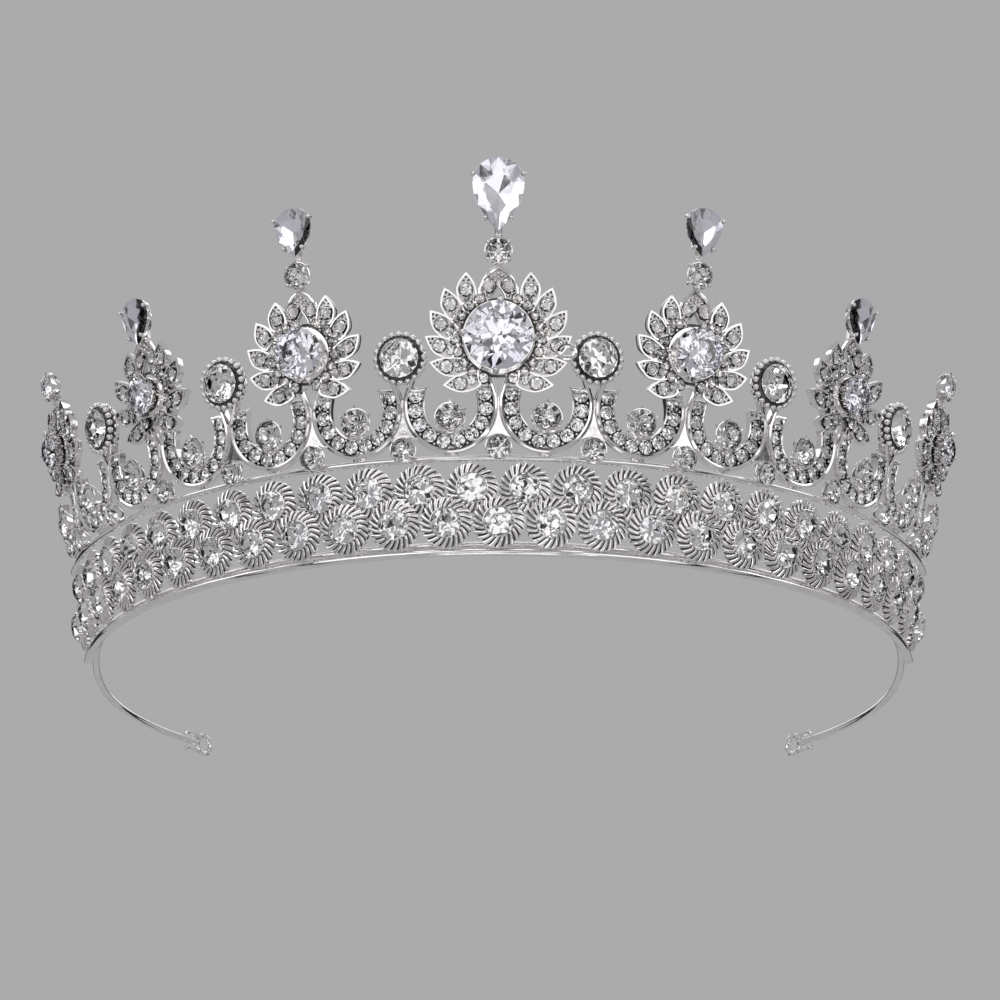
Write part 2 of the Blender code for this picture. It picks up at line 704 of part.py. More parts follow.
def leaf_cluster(size):
    """Plate with a collet, leaves round its sides, and over a small hole a point of two crossed leaves."""
    bodies = [wreath_plate(size), collet(size)]
    foot_radius = size.reach * LEAF_FOOT_SHARE
    for i in range(size.leaves):
        share = i / (size.leaves - 1)
        angle = LEAF_FIRST + (LEAF_LAST - LEAF_FIRST) * share
        sweep = LEAF_SWEEP_FIRST + (LEAF_SWEEP_LAST - LEAF_SWEEP_FIRST) * share
        lift = LEAF_STAGGER * (i % 2)
        for side in (-1, 1):
            foot = polar(foot_radius, side * (angle + sweep))
            bodies.append(leaf(foot, polar(size.reach, side * angle), LEAF_HALF_WIDTH, lift))
    for side in (-1, 1):
        foot = Vector((side * ARCH_SPREAD, foot_radius, 0))
        tip = Vector((-side * LAP, size.point, 0))
        bodies.append(leaf(foot, tip, LEAF_HALF_WIDTH, LEAF_STAGGER * (3 + side)))
    half = ARCH_HOLE_WIDTH / 2
    low = collet_radius(size) + CLEARANCE
    corners = ((-half, low), (half, low), (0, low + ARCH_HOLE_HEIGHT))
    hole = prism(corners, -PLATE_THICKNESS, 2 * PLATE_THICKNESS)
    return cast(bodies, [hole, stone_pocket(size)])


def wreath_plate(size):
    """Flat plate of the wreath, which draws in under the last leaves to its foot on the stem."""
    wreath = size.reach * WREATH_SHARE
    outline = []
    for angle in turns(WREATH_SIDES):
        turn = min(angle, 2 * math.pi - angle)
        drawn_in = max(0, turn - LEAF_LAST) / (math.pi - LEAF_LAST)
        radius = wreath + (size.foot - wreath) * drawn_in
        outline.append(polar(radius, angle).xy)
    return prism(outline, 0, PLATE_THICKNESS)


def stone_rise(size):
    """Height of the stone's girdle over the cluster's back."""
    return COLLET_BASE + COLLET_STONE_SHARE * size.stone


def pocket_radius(size):
    return pavilion_radius(size.stone / 2, STONE_SEAT) + CLEARANCE


def collet_radius(size):
    return pocket_radius(size) + COLLET_WALL


def collet(size):
    """Tapered ring that stands on the plate and holds the cluster's stone."""
    outer = collet_radius(size)
    profile = ((outer * COLLET_TAPER, PLATE_THICKNESS / 2), (outer, stone_rise(size) - STONE_SEAT))
    return turned(profile, COLLET_SIDES)


def stone_pocket(size):
    """Hollow for the back of the cluster's stone, parallel to it."""
    inner = pocket_radius(size)
    rim = stone_rise(size) - STONE_SEAT
    profile = (
        (0, rim - inner * PAVILION_DEPTH),
        (inner + STONE_SEAT / PAVILION_DEPTH, rim + STONE_SEAT),
    )
    return turned(profile, COLLET_SIDES)


def girdle_rise(width):
    """Height of a finial stone's girdle over the back of the wall, from the depth of the stone."""
    return FINIAL_CUP_BASE + FINIAL_CUP_FLOOR + width / 2 * PAVILION_DEPTH


def finial_places(size, finial):
    """Heights over the cluster's middle of the post's foot, the small round's middle and the top stone's."""
    foot = size.point + CLEARANCE
    middle_round = foot + finial.round_stone / 2
    below = foot + finial.round_stone + (FINIAL_NECK if finial.round_stone else -finial.drop)
    return foot, middle_round, below + finial.length / 2


def finial_setting(size, finial):
    """Post up the back with a cup for the top stone and, on the middle finials, a round cup under it."""
    foot, middle_round, middle_top = finial_places(size, finial)
    half = FINIAL_POST_WIDTH / 2
    post = ((-half, foot), (half, foot), (half, middle_top), (-half, middle_top))
    bodies = [prism(post, FINIAL_POST_BACK, FINIAL_POST_FRONT)]
    if finial.round_stone:
        cup = finial_cup(finial.round_stone)
        bodies.append(moved(cup, Matrix.Translation((0, middle_round, 0))))
    bodies.append(moved(top_cup(finial), Matrix.Translation((0, middle_top, 0))))
    return cast(bodies)


def is_pear(finial):
    return finial.length > finial.width


def finial_cup(diameter):
    return setting(diameter, girdle_rise(diameter), FINIAL_CUP_BASE, CUP_WALL, FINIAL_CUP_SIDES)


def top_cup(finial):
    if not is_pear(finial):
        return finial_cup(finial.width)
    rim = girdle_rise(finial.width) - STONE_SEAT
    depth = pear_depth(finial)
    pocket = 1 - STONE_SEAT / depth + 2 * CLEARANCE / finial.width
    wall = pocket + 2 * CUP_WALL / finial.width
    rings = [
        pear_ring(finial.length, finial.width, FINIAL_CUP_BASE, PEAR_BASE_SHARE),
        pear_ring(finial.length, finial.width, rim, wall),
        pear_ring(finial.length, finial.width, rim, pocket),
        [Vector((0, 0, rim - pocket * depth))],
    ]
    return loft(rings)


def pear_depth(finial):
    return finial.width / 2 * PAVILION_DEPTH


def top_stone(finial):
    if not is_pear(finial):
        return brilliant(finial.width, STONE_SIDES)
    crown = finial.width / 2 * CROWN_HEIGHT
    rings = [
        [Vector((0, 0, -pear_depth(finial)))],
        pear_ring(finial.length, finial.width, 0),
        pear_ring(finial.length, finial.width, crown, TABLE_SIZE),
    ]
    return loft(rings)


def cluster_name(what, rank, side):
    return what + "_centre" if rank == 0 else "%s_%s_%s" % (what, SIDES[side], RANKS[rank])


def clusters():
    for rank, (size, finial) in enumerate(zip(CLUSTERS, FINIALS)):
        middle = HEAD_SEAT + CLEARANCE + size.foot
        plate = leaf_cluster(size)
        holder = finial_setting(size, finial)
        _, middle_round, middle_top = finial_places(size, finial)
        for side in (1,) if rank == 0 else (-1, 1):
            angle = side * 2 * rank * SCROLL_STEP
            here = on_wall(angle, middle, HEAD_PROUD)
            piece(cluster_name("leaf_cluster", rank, side), plate.copy(), silver, here)
            lift = Matrix.Translation((0, 0, stone_rise(size)))
            stone = brilliant(size.stone, LARGE_STONE_SIDES)
            piece(cluster_name("cluster_stone", rank, side), stone, zirconia, here @ lift)
            piece(cluster_name("finial_setting", rank, side), holder.copy(), silver, here)
            if finial.round_stone:
                at = Matrix.Translation((0, middle_round, girdle_rise(finial.round_stone)))
                stone = brilliant(finial.round_stone, STONE_SIDES)
                piece(cluster_name("finial_round", rank, side), stone, rhinestone, here @ at)
            at = Matrix.Translation((0, middle_top, girdle_rise(finial.width)))
            piece(cluster_name("finial_stone", rank, side), top_stone(finial), zirconia, here @ at)


# The finished tiara

def centre_plan():
    """Moves the tiara so that the middle of its plan is at x = y = 0."""
    bpy.context.view_layer.update()
    depths = []
    for obj in tiara.children:
        depths += [(obj.matrix_world @ vertex.co).y for vertex in obj.to_mesh().vertices]
        obj.to_mesh_clear()
    tiara.location.y = -(min(depths) + max(depths)) / 2


for old in list(bpy.data.objects):
    bpy.data.objects.remove(old)
silver = metal("silver_plate", (0.80, 0.79, 0.78), 0.16)
rhinestone = crystal("rhinestone", (0.94, 0.94, 0.95), 0.02, 1.55)
zirconia = crystal("cubic_zirconia", (0.93, 0.94, 0.98), 0.01, 2.15)
tiara = bpy.data.objects.new("tiara", None)
bpy.context.collection.objects.link(tiara)

hoop_wire()
eyelet(-1)
eyelet(1)
lower_rail()
pinwheel_band()
upper_rail()
scroll_gallery()
gallery_stones()
clusters()
centre_plan()
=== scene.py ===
"""Looks of the bridal tiara: polished castings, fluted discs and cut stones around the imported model.

Metres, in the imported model's frame. A motif is drawn flat, with x to the right, y up the wall and z
outwards, and then set on the flaring wall, as in the model's source, whose sizes are repeated here.
"""

import math
from collections import namedtuple

import bmesh
import bpy
from mathutils import Matrix, Vector
from mathutils.geometry import interpolate_bezier


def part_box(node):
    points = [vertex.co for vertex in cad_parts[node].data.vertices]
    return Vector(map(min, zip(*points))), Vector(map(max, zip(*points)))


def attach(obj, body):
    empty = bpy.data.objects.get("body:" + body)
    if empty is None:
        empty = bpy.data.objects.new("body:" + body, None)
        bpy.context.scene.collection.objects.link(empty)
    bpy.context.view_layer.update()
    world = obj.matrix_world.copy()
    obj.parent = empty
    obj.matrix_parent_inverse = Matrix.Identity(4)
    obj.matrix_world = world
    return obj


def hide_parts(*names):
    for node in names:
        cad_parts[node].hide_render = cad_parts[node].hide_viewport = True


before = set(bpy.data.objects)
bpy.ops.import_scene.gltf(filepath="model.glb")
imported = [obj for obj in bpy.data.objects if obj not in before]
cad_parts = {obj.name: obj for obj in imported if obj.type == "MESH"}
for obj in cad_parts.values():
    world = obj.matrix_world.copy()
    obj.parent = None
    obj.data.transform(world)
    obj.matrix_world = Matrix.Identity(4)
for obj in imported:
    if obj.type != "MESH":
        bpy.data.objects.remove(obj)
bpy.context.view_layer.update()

# Wall and hoop, as in the model's source
HOOP_RADIUS = 0.0670
WALL_FLARE = math.radians(10.4)
WIRE_DIAMETER = 0.0011
WIRE_RISE = 0.0020
WIRE_RADIUS = 0.066511
HOOP_SPREAD = 0.0528
HOOP_DEPTH = 0.0505
HOOP_END_TURN = math.radians(128)
TAIL_FULLNESS = 0.37
EYELET_RADIUS = 0.0016
EYELET_WIRE = 0.0008
EYELET_TAIL = 0.0018
EYELET_BALL = 0.0010
LOWER_RAIL_HEIGHT = 0.0009
LOWER_RAIL_WIDTH = 0.0013
LOWER_RAIL_EDGE = 0.0002
UPPER_RAIL_DIAMETER = 0.0010
UPPER_RAIL_PROUD = 0.0009
BAND_HALF_ANGLE = 1.475095
GALLERY_HALF_ANGLE = 1.450677

# Heights up the wall and steps along it
LOWER_ROW = 0.005235
UPPER_ROW = 0.010573
UPPER_RAIL = 0.015223
SCROLL_FOOT = 0.016023
CUP_CENTRE = 0.021523
HEAD_SEAT = 0.027723
BEADED_CENTRE = 0.031123
PINWHEEL_STEP = 0.117530
SCROLL_STEP = 0.206387
PINWHEELS_IN_LOWER_ROW = 25
SCROLL_COUNT = 14
CLEARANCE = 0.0003
BACK_LIFT = 0.0001  # between the wall and the back of what stands on it

# Pinwheel discs: each pleat is a rounded bar and a groove whose floor is painted dark as shade, as shares of
# its width and depth
PINWHEEL_RADIUS = 0.0039
ROW_SET_BACK = 0.0006
PLEATS = 22
PLEAT_SECTION = (
    (0.0, 0.5), (0.14, 0.9), (0.32, 1.0), (0.5, 0.9), (0.68, 0.5), (0.73, -1.2), (0.94, -1.2),
)
PLEAT_SWIRL = math.radians(15)
PLEAT_DEPTH = 0.00030
PLEAT_SCALLOP = 0.03
DISC_RINGS = (1.0, 1.0, 0.75, 0.5, 0.25, 0.0)  # shares of the way from the seat out to the rim
DISC_RIM_RISE = 0.0011
DISC_EDGE = 0.0004
DISC_COLLAR = ((0.00012, 0.00005), (0.00003, 0.00008), (0.00003, -0.0001))  # past the stone, over its girdle
DISC_SEAT_RADIUS = 0.00252
DISC_SEAT_RISE = 0.0015
PINWHEEL_STONE = 0.0047
PINWHEEL_GIRDLE = 0.0021

# Scroll gallery
SCROLL_WAIST = SCROLL_FOOT + 0.0074  # middle of the bowls' circles, where neighbouring rims touch
SCROLL_ARM = 0.0026  # arms above the waist
ARM_LEAN = 0.0004
OUTER_RIM_RADIUS = 0.0070
OUTER_RIM_WIDTH = 0.00084
RIM_RISE = 0.0016
BED_RADIUS = 0.0055
BED_WIDTH = 0.0024
BED_RISE = 0.0003
INNER_RIM_RADIUS = 0.00435
INNER_RIM_WIDTH = 0.0003
PAVE_PER_SCROLL = 10
PAVE_RADIUS = 0.00556
PAVE_STONE = 0.00215
PAVE_GIRDLE = 0.00125
PAVE_TOP_GAP = 0.0009
GRAIN_RADIUS = 0.00024
FORK_START = 0.0010  # over the waist, where the rims begin to part round a stem's eye
FORK_END = 0.0048
FORK_LEAN = 0.24
FORK_CURL = 20.0
CUP_STONE = 0.0046
CUP_GIRDLE = 0.0022
CUP_WALL = 0.00015
CUP_CLAWS = (124, 236)  # places of claws round a stone, in degrees from its top
CUP_PRONGS = (0, 62, 298)
PRONG_LENGTH = 0.0006
PRONG_WIRE = 0.00026
LUG_RADIUS = 0.0006
CLAW_WIRE = 0.0002
FOUR_CLAWS = (50, 130, 230, 310)
FOOT_STONE = 0.0039
FOOT_RISE = 0.0008
FOOT_GIRDLE = 0.0022
BEADED_STONE = 0.0062
BEADED_GIRDLE = 0.0029
BEADED_RADIUS = 0.0043
BEADS = 20
BEAD_RADIUS = 0.00052

# Leaf clusters, from the middle outwards, and their finials
Cluster = namedtuple("Cluster", "leaves reach foot point stone rise")
CLUSTERS = (
    Cluster(6, 0.0115, 0.0058, 0.0112, 0.0108, 0.004328),
    Cluster(5, 0.0099, 0.0052, 0.0101, 0.0080, 0.003880),
    Cluster(4, 0.0090, 0.0044, 0.0095, 0.0062, 0.003592),
    Cluster(4, 0.0085, 0.0039, 0.0092, 0.0058, 0.003528),
)
Finial = namedtuple("Finial", "round_stone length width drop")
FINIALS = (
    Finial(0.0041, 0.0116, 0.0081, 0.0000),
    Finial(0.0041, 0.0077, 0.0062, 0.0000),
    Finial(0.0000, 0.0075, 0.0060, 0.0014),
    Finial(0.0000, 0.0045, 0.0045, 0.0008),
)
HEAD_PROUD = 0.0012
LEAF_FIRST = math.radians(26)
LEAF_LAST = math.radians(131)
LEAF_SWEEP = math.radians(15)
LEAF_SWEEP_MORE = math.radians(10)
LEAF_HALF_WIDTH = 0.00158
LEAF_FULL_TO = 0.42  # share of a leaf's length up to which it keeps its width
LEAF_CURL = 0.00028
LEAF_BED_RISE = 0.00095
LEAF_RIM_RISE = 0.00140
LEAF_GIRDLE = 0.00150
LEAF_STONE = 0.00195
LEAF_STONE_BACK = 0.0028  # from a leaf's tip to the middle of its stone
LEAF_SMALL_STONE = 0.0014
LEAF_SMALL_BACK = 0.0046
LEAF_LIFT = 0.0002
LEAF_LAYER = 0.00012  # every other leaf lies this much higher
# pits are flat dark discs laid on the bed, painted shade in place of holes
LEAF_PAINTED_PITS = ((0.0, 0.0008), (0.00036, 0.00135), (-0.00036, 0.00135))  # from its middle and its tip
PAINTED_PIT_RADIUS = 0.00019
ARCH_STONE = 0.0023
ARCH_STONE_PLACE = (0.0016, 0.0021)
ARCH_HEIGHT = 0.0048  # the arch is drawn at this height, and stretched to its cluster
ARCH_RIM = (
    (0.00295, 0.0), (0.00292, 0.0009), (0.00272, 0.0018),
    (0.0022, 0.0030), (0.00135, 0.0041), (0.0002, 0.0048),
)
ARCH_RIM_WIRE = 0.00036
ARCH_EYE = ((0.00115, 0.0), (0.00095, 0.0006), (0.0006, 0.0012), (0.0, 0.0020))
ARCH_EYE_WIRE = 0.00016
ARCH_GRAINS = (
    (0.0, 0.0040), (0.0, 0.0033), (0.00062, 0.0036), (0.00058, 0.0028),
    (0.0021, 0.0008), (0.0015, 0.0005), (0.0024, 0.0015),
)
# height of the dark rings under small stones, which are painted shadow
SHADE_RING_RISE = 0.00006
WREATH_REACH = 0.70  # as a share of the leaves' reach
WREATH_RISE = 0.0011
WREATH_STONE = 0.00155
WREATH_GIRDLE = 0.0017
WREATH_SPREAD = math.radians(160)  # to each side of the top
WREATH_GAP = math.radians(15)  # left free under the arch
# height of the dark rings under the wreath's stones, which are painted shadow
WREATH_SHADE_RING_RISE = 0.0003
CLUSTER_SIDES = 48
COLLET_WALL = 0.00025
COLLET_CLAWS = (4, 94, 184, 274)
LINK_PLACE = (0.0106, -0.0023, 0.0014)  # oval link that joins the middle cluster to the bezel on its right
LINK_HALF_WIDTH = 0.00125
LINK_HALF_HEIGHT = 0.00100
LINK_WIRE = 0.00045
FINIAL_NECK = 0.0009
NECK_BEAD = 0.00052
NECK_BEAD_RISE = 0.0012
FINIAL_FLOOR = 0.0009
FINIAL_POST = 0.0012
FINIAL_POST_FRONT = 0.0006
FINIAL_SEAT = 0.55  # height of a stone's girdle over the floor, as a share of its radius
FINIAL_CLAW_FOOT = 0.0007
FINIAL_CLAW_WIRE = 0.00028
PEAR_ROUNDNESS = 0.8
PEAR_RIBS = 12
PEAR_RIB_WIRE = 0.00024
PEAR_CLAWS = (58, 130, 230, 302)
PEAR_CLAW_WIRE = 0.0003

# Cut of the stones, as shares of the girdle's radius
TABLE_SIZE = 0.56
CROWN_HEIGHT = 0.32
STAR_REACH = 0.78
GIRDLE_HEIGHT = 0.04
PAVILION_DEPTH = 0.87
LOWER_REACH = 0.30
WEDGE_REACH = 0.80  # pressed stones have long wedges at the back and short halves
PEAR_REACH = 0.55  # a pear's back has two shallow tiers that meet here
PEAR_TIERS = (0.045, 0.055)
PEAR_CROWN = 0.32  # height of a pear's crown, as a share of a round stone's

# Surfaces: scales of the noise in the materials, depth of the ripple, and the angle where edges stay sharp
TONE_SCALE = 420
GLOSS_SCALE = 900
RIPPLE_SCALE = 1300
RIPPLE_DEPTH = 0.00008
TINT_SCALE = 160
SHARP_ANGLE = math.radians(32)

# View, light and stage
VIEW_RISE = math.radians(17.5)
VIEW_DISTANCE = 0.9
VIEW_HEIGHT = 0.00915
LENS = 208.94
VIEW_SHIFT = 0.0015
FLOOR_SIZE = 2.6
FLOOR_DROP = 0.0003
FLOOR_GRAIN = 3
FLOOR_TONES = ((0.70, 0.70, 0.71), (0.74, 0.74, 0.75))
WORLD_COLOUR = (0.70, 0.70, 0.71, 1)
WORLD_STRENGTH = 0.58

# Lamps and dark cards round the tiara, at an azimuth from the front and a height angle in degrees
AIM_HEIGHT = 0.025
Lamp = namedtuple("Lamp", "name azimuth rise distance size glow")
LAMPS = (
    Lamp("front", 0, -14, 1.3, 0.75, 0.77),
    Lamp("front_left", -34, 14, 1.4, 0.8, 1.04),
    Lamp("front_right", 36, 10, 1.4, 0.7, 0.94),
    Lamp("overhead", 0, 72, 1.3, 0.9, 1.40),
    Lamp("low", 0, -46, 1.3, 0.6, 0.70),
    Lamp("left", -88, 38, 1.3, 0.6, 1.30),
    Lamp("right", 88, 38, 1.3, 0.6, 1.30),
    Lamp("rear", 180, 35, 1.3, 0.8, 0.90),
    Lamp("spark_left", -14, 24, 1.3, 0.14, 3.0),
    Lamp("spark_right", 24, -26, 1.3, 0.14, 3.0),
)
CARD_GRAIN = 4
CARD_TONES = ((0.015, 0.015, 0.016), (0.03, 0.03, 0.032))
CARD_DISTANCE = 1.1
CARD_LENGTH = 1.3
SPOKE_RING = 15.0  # between the view and the middle of the spokes round it
SPOKE_CLOCKS = (32, 76, 121, 166, 211, 257, 311)
SPOKE_SIZE = (0.075, 0.36)
UPRIGHT_CARDS = (-72, -52, 54, 72)
UPRIGHT_RISE = -6
UPRIGHT_WIDTH = 0.10
LEVEL_CARDS = ((0, 44), (0, -66), (180, 10))
LEVEL_WIDTH = 0.12
BEHIND_CARDS = (140, 220)
BEHIND_WIDTH = 0.25

SIDES = {-1: "left", 1: "right"}
RANKS = ("centre", "inner", "middle", "outer")
GOLDEN_TURN = math.radians(137.5)
AXIS_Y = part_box("lower_rail")[0].y + HOOP_RADIUS + LOWER_RAIL_WIDTH + LOWER_RAIL_EDGE


def on_wall(angle, rise=0.0, proud=0.0):
    """Matrix of a motif's own axes at a place on the wall: x along it, y up it and z out of it."""
    out = Vector((math.sin(angle), -math.cos(angle), 0))
    along_wall = Vector((math.cos(angle), math.sin(angle), 0))
    up = out * math.sin(WALL_FLARE) + Vector((0, 0, math.cos(WALL_FLARE)))
    normal = along_wall.cross(up)
    place = Vector((0, AXIS_Y, 0)) + out * HOOP_RADIUS + up * rise + normal * proud
    turn = Matrix((along_wall, up, normal)).transposed().to_4x4()
    return Matrix.Translation(place) @ turn


def shifted(x, y, z):
    return Matrix.Translation((x, y, z))


def spun(angle):
    return Matrix.Rotation(-angle, 4, "Z")


def nudged(count, lean=1.6):
    """Small turn and lean of a hand-set stone, different for each count."""
    turn = GOLDEN_TURN * count
    tilt = math.radians(lean)
    over = Matrix.Rotation(tilt * math.sin(turn), 4, "X")
    aside = Matrix.Rotation(tilt * math.cos(2 * turn), 4, "Y")
    return spun(turn * 1.7) @ over @ aside


# Shapes

def bridge(mesh, lower, upper):
    """Faces between two closed loops with as many points, or between a loop and a tip of one point."""
    count = max(len(lower), len(upper))
    for i in range(count):
        j = (i + 1) % count
        corners = (lower[i % len(lower)], lower[j % len(lower)], upper[j % len(upper)], upper[i % len(upper)])
        mesh.faces.new(list(dict.fromkeys(corners)))


def finished(mesh, smooth, slot=None):
    """Mesh data from a bmesh, with its faces outwards."""
    bmesh.ops.recalc_face_normals(mesh, faces=mesh.faces)
    for face in mesh.faces:
        face.smooth = smooth
        if slot is not None:
            face.material_index = slot
    data = bpy.data.meshes.new("motif")
    mesh.to_mesh(data)
    mesh.free()
    return data


def loft(rings, closed=False, smooth=True, slot=0):
    """Solid through rings of points. A ring of one point is a tip, and a closed loft joins its ends."""
    mesh = bmesh.new()
    loops = [[mesh.verts.new(point) for point in ring] for ring in rings]
    for lower, upper in zip(loops, loops[1:] + loops[:1] if closed else loops[1:]):
        bridge(mesh, lower, upper)
    if not closed:
        for end in (loops[0], loops[-1]):
            if len(end) > 2:
                mesh.faces.new(end)
    return finished(mesh, smooth, slot)


def circle(radius, height, sides, turn=0.0):
    """Ring about z, clockwise from +y."""
    if radius == 0:
        return [Vector((0, 0, height))]
    angles = [turn + 2 * math.pi * i / sides for i in range(sides)]
    return [Vector((radius * math.sin(a), radius * math.cos(a), height)) for a in angles]


def turned(profile, sides, slot=0):
    """Turned solid about z from pairs of radius and height."""
    return loft([circle(radius, height, sides) for radius, height in profile], slot=slot)


def heading_at(path, i):
    """Direction of a path at one of its points."""
    return (path[min(i + 1, len(path) - 1)] - path[max(i - 1, 0)]).normalized()


def tube(path, radii, sides=8, slot=0):
    """Round wire along a path. The radius is one number, or one for each point."""
    if not isinstance(radii, (list, tuple)):
        radii = [radii] * len(path)
    rings = []
    aside = None
    for i, point in enumerate(path):
        ahead = heading_at(path, i)
        if aside is None:
            aside = ahead.orthogonal()
        aside = (aside - ahead * aside.dot(ahead)).normalized()
        other = ahead.cross(aside)
        turns = [2 * math.pi * k / sides for k in range(sides)]
        rings.append([point + radii[i] * (aside * math.cos(t) + other * math.sin(t)) for t in turns])
    return loft(rings, slot=slot)


def beside(path, offset, height):
    """Flat path moved to its right by an offset, at a height over the wall."""
    moved = []
    for i, point in enumerate(path):
        ahead = heading_at(path, i)
        moved.append(Vector((point.x + ahead.y * offset, point.y - ahead.x * offset, height)))
    return moved


def bar(path, section, slot=0):
    """Bar along a flat path from a section of pairs of an offset and a height."""
    edges = [beside(path, offset, height) for offset, height in section]
    return loft([list(ring) for ring in zip(*edges)], slot=slot)


def level(pairs, height):
    """Points of a flat outline at a height."""
    return [Vector((x, y, height)) for x, y in pairs]


def plate(outline, low, high, slot=0):
    """Flat plate from an outline of pairs."""
    return loft([level(outline, low), level(outline, high)], slot=slot)


def mirrored(right):
    """Closed outline from the points of its right side, from the bottom up."""
    return list(right) + [(-x, y) for x, y in reversed(right) if x]


def bead(radius, flat=1.0, sides=8):
    mesh = bmesh.new()
    bmesh.ops.create_uvsphere(mesh, u_segments=sides, v_segments=sides - 2, radius=radius)
    bmesh.ops.scale(mesh, vec=(1, 1, flat), verts=mesh.verts)
    return finished(mesh, True, 0)


def ring_band(inner, outer, low, high, sides=40, slot=0):
    """Flat ring with a square section."""
    rings = [circle(r, z, sides) for r, z in ((inner, low), (outer, low), (outer, high), (inner, high))]
    return loft(rings, closed=True, slot=slot)


def wire_ring(half_width, half_height, wire, steps, sides):
    """Oval ring of round wire about z."""
    rings = []
    turns = [2 * math.pi * k / sides for k in range(sides)]
    for i in range(steps):
        out = Vector((math.sin(2 * math.pi * i / steps), math.cos(2 * math.pi * i / steps), 0))
        middle = Vector((out.x * half_width, out.y * half_height, 0))
        rings.append([middle + wire * (out * math.cos(t) + Vector((0, 0, math.sin(t)))) for t in turns])
    return loft(rings, closed=True)


def fronted(data, slot):
    """Gives a slot to the faces that look outwards, and leaves the back as it is."""
    for face in data.polygons:
        if face.normal.z > 0.05:
            face.material_index = slot
    return data


def gathered(parts):
    """One mesh from motifs, each alone or in a pair with its place."""
    whole = bmesh.new()
    for part in parts:
        data, matrix = part if isinstance(part, tuple) else (part, Matrix())
        start = len(whole.verts)
        whole.from_mesh(data)
        whole.verts.ensure_lookup_table()
        bmesh.ops.transform(whole, matrix=matrix, verts=whole.verts[start:])
    data = bpy.data.meshes.new("piece")
    whole.to_mesh(data)
    whole.free()
    return data


def brilliant(diameter, folds=8, reach=WEDGE_REACH, tiers=None):
    """Round stone with its girdle at z = 0: table, stars, kites and halves over it, mains and halves
    under it.

    Slot 0 is the clear crown and slot 1 the back. The halves of the back end at the reach. With two
    tiers given, these are the heights of the halves and of the mains."""
    radius = diameter / 2
    half = math.pi / folds
    edge = GIRDLE_HEIGHT / 2
    table_slope = (CROWN_HEIGHT - edge) / (1 - TABLE_SIZE)
    star_rise = CROWN_HEIGHT - (STAR_REACH * math.cos(half) - TABLE_SIZE) * table_slope
    lower_drop = edge + (1 - reach * math.cos(half)) * (PAVILION_DEPTH - edge)
    depth = PAVILION_DEPTH
    if tiers:
        lower_drop = edge + tiers[0]
        depth = lower_drop + tiers[1]
    mesh = bmesh.new()

    def ring(share, height, count, turn=0.0):
        return [mesh.verts.new(point * radius) for point in circle(share, height, count, turn)]

    table = ring(TABLE_SIZE, CROWN_HEIGHT, folds)
    star = ring(STAR_REACH, star_rise, folds, half)
    top = ring(1, edge, 2 * folds)
    low = ring(1, -edge, 2 * folds)
    under = ring(reach, -lower_drop, folds, half)
    point = mesh.verts.new((0, 0, -depth * radius))
    mesh.faces.new(table)
    back = []
    for k in range(folds):
        after = (k + 1) % folds
        here, mid, there = top[2 * k], top[2 * k + 1], top[2 * after]
        mesh.faces.new((table[k], table[after], star[k]))
        mesh.faces.new((table[k], star[k], here, star[k - 1]))
        mesh.faces.new((star[k], mid, here))
        mesh.faces.new((star[k], there, mid))
        here, mid, there = low[2 * k], low[2 * k + 1], low[2 * after]
        back.append(mesh.faces.new((under[k], here, mid)))
        back.append(mesh.faces.new((under[k], mid, there)))
        if tiers:
            back.append(mesh.faces.new((under[k], under[k - 1], here)))
            back.append(mesh.faces.new((under[k], point, under[k - 1])))
        else:
            back.append(mesh.faces.new((under[k], point, under[k - 1], here)))
    for i in range(2 * folds):
        j = (i + 1) % (2 * folds)
        mesh.faces.new((top[i], top[j], low[j], low[i]))
    for face in back:
        face.material_index = 1
    return finished(mesh, False)


def pear_point(angle, length, width):
    """Point of a pear outline, clockwise from its round top, with its tip downwards."""
    spread = math.sin(angle) * abs(math.cos(angle / 2)) ** PEAR_ROUNDNESS
    return Vector((width / 2 * spread / PEAR_WIDEST, length / 2 * math.cos(angle)))


PEAR_WIDEST = max(math.sin(a / 50) * abs(math.cos(a / 100)) ** PEAR_ROUNDNESS for a in range(1, 157))


def pear_cut(length, width, folds=10):
    """Brilliant stone drawn out into a pear."""
    data = brilliant(2.0, folds, PEAR_REACH, PEAR_TIERS)
    for vertex in data.vertices:
        reach = vertex.co.xy.length
        angle = math.atan2(vertex.co.x, vertex.co.y)
        flat = pear_point(angle, length, width) * reach
        height = vertex.co.z * width / 2
        vertex.co = (flat.x, flat.y, height * PEAR_CROWN if height > 0 else height)
    return data


def claw(reach, low, girdle, wire):
    """Finger that climbs outside a stone on its +y side and ends in a ball over the stone's edge."""
    ball = girdle + wire * 0.9
    path = [Vector((0, y, z)) for y, z in (
        (reach * 0.72, low),
        (reach + wire * 0.7, girdle - wire * 1.5),
        (reach + wire * 0.8, girdle),
        (reach + wire * 0.2, ball),
    )]
    return gathered([
        tube(path, [wire, wire, wire * 0.95, wire * 0.8], 6),
        (bead(wire * 1.15), shifted(0, reach + wire * 0.15, ball)),
    ])


def around(motif, angles):
    """Motif repeated round z at angles in degrees."""
    return gathered([(motif, spun(math.radians(angle))) for angle in angles])


def claws(reach, low, girdle, wire, angles):
    return around(claw(reach, low, girdle, wire), angles)


def prongs(reach, girdle, length, wire, angles):
    """Pointed ends of claws that stick out round a stone."""
    path = [Vector((0, y, z)) for y, z in (
        (reach * 0.80, girdle - wire * 3),
        (reach + wire * 0.5, girdle - wire),
        (reach + length, girdle + wire * 0.4),
    )]
    return around(tube(path, [wire, wire, wire * 0.3], 6), angles)


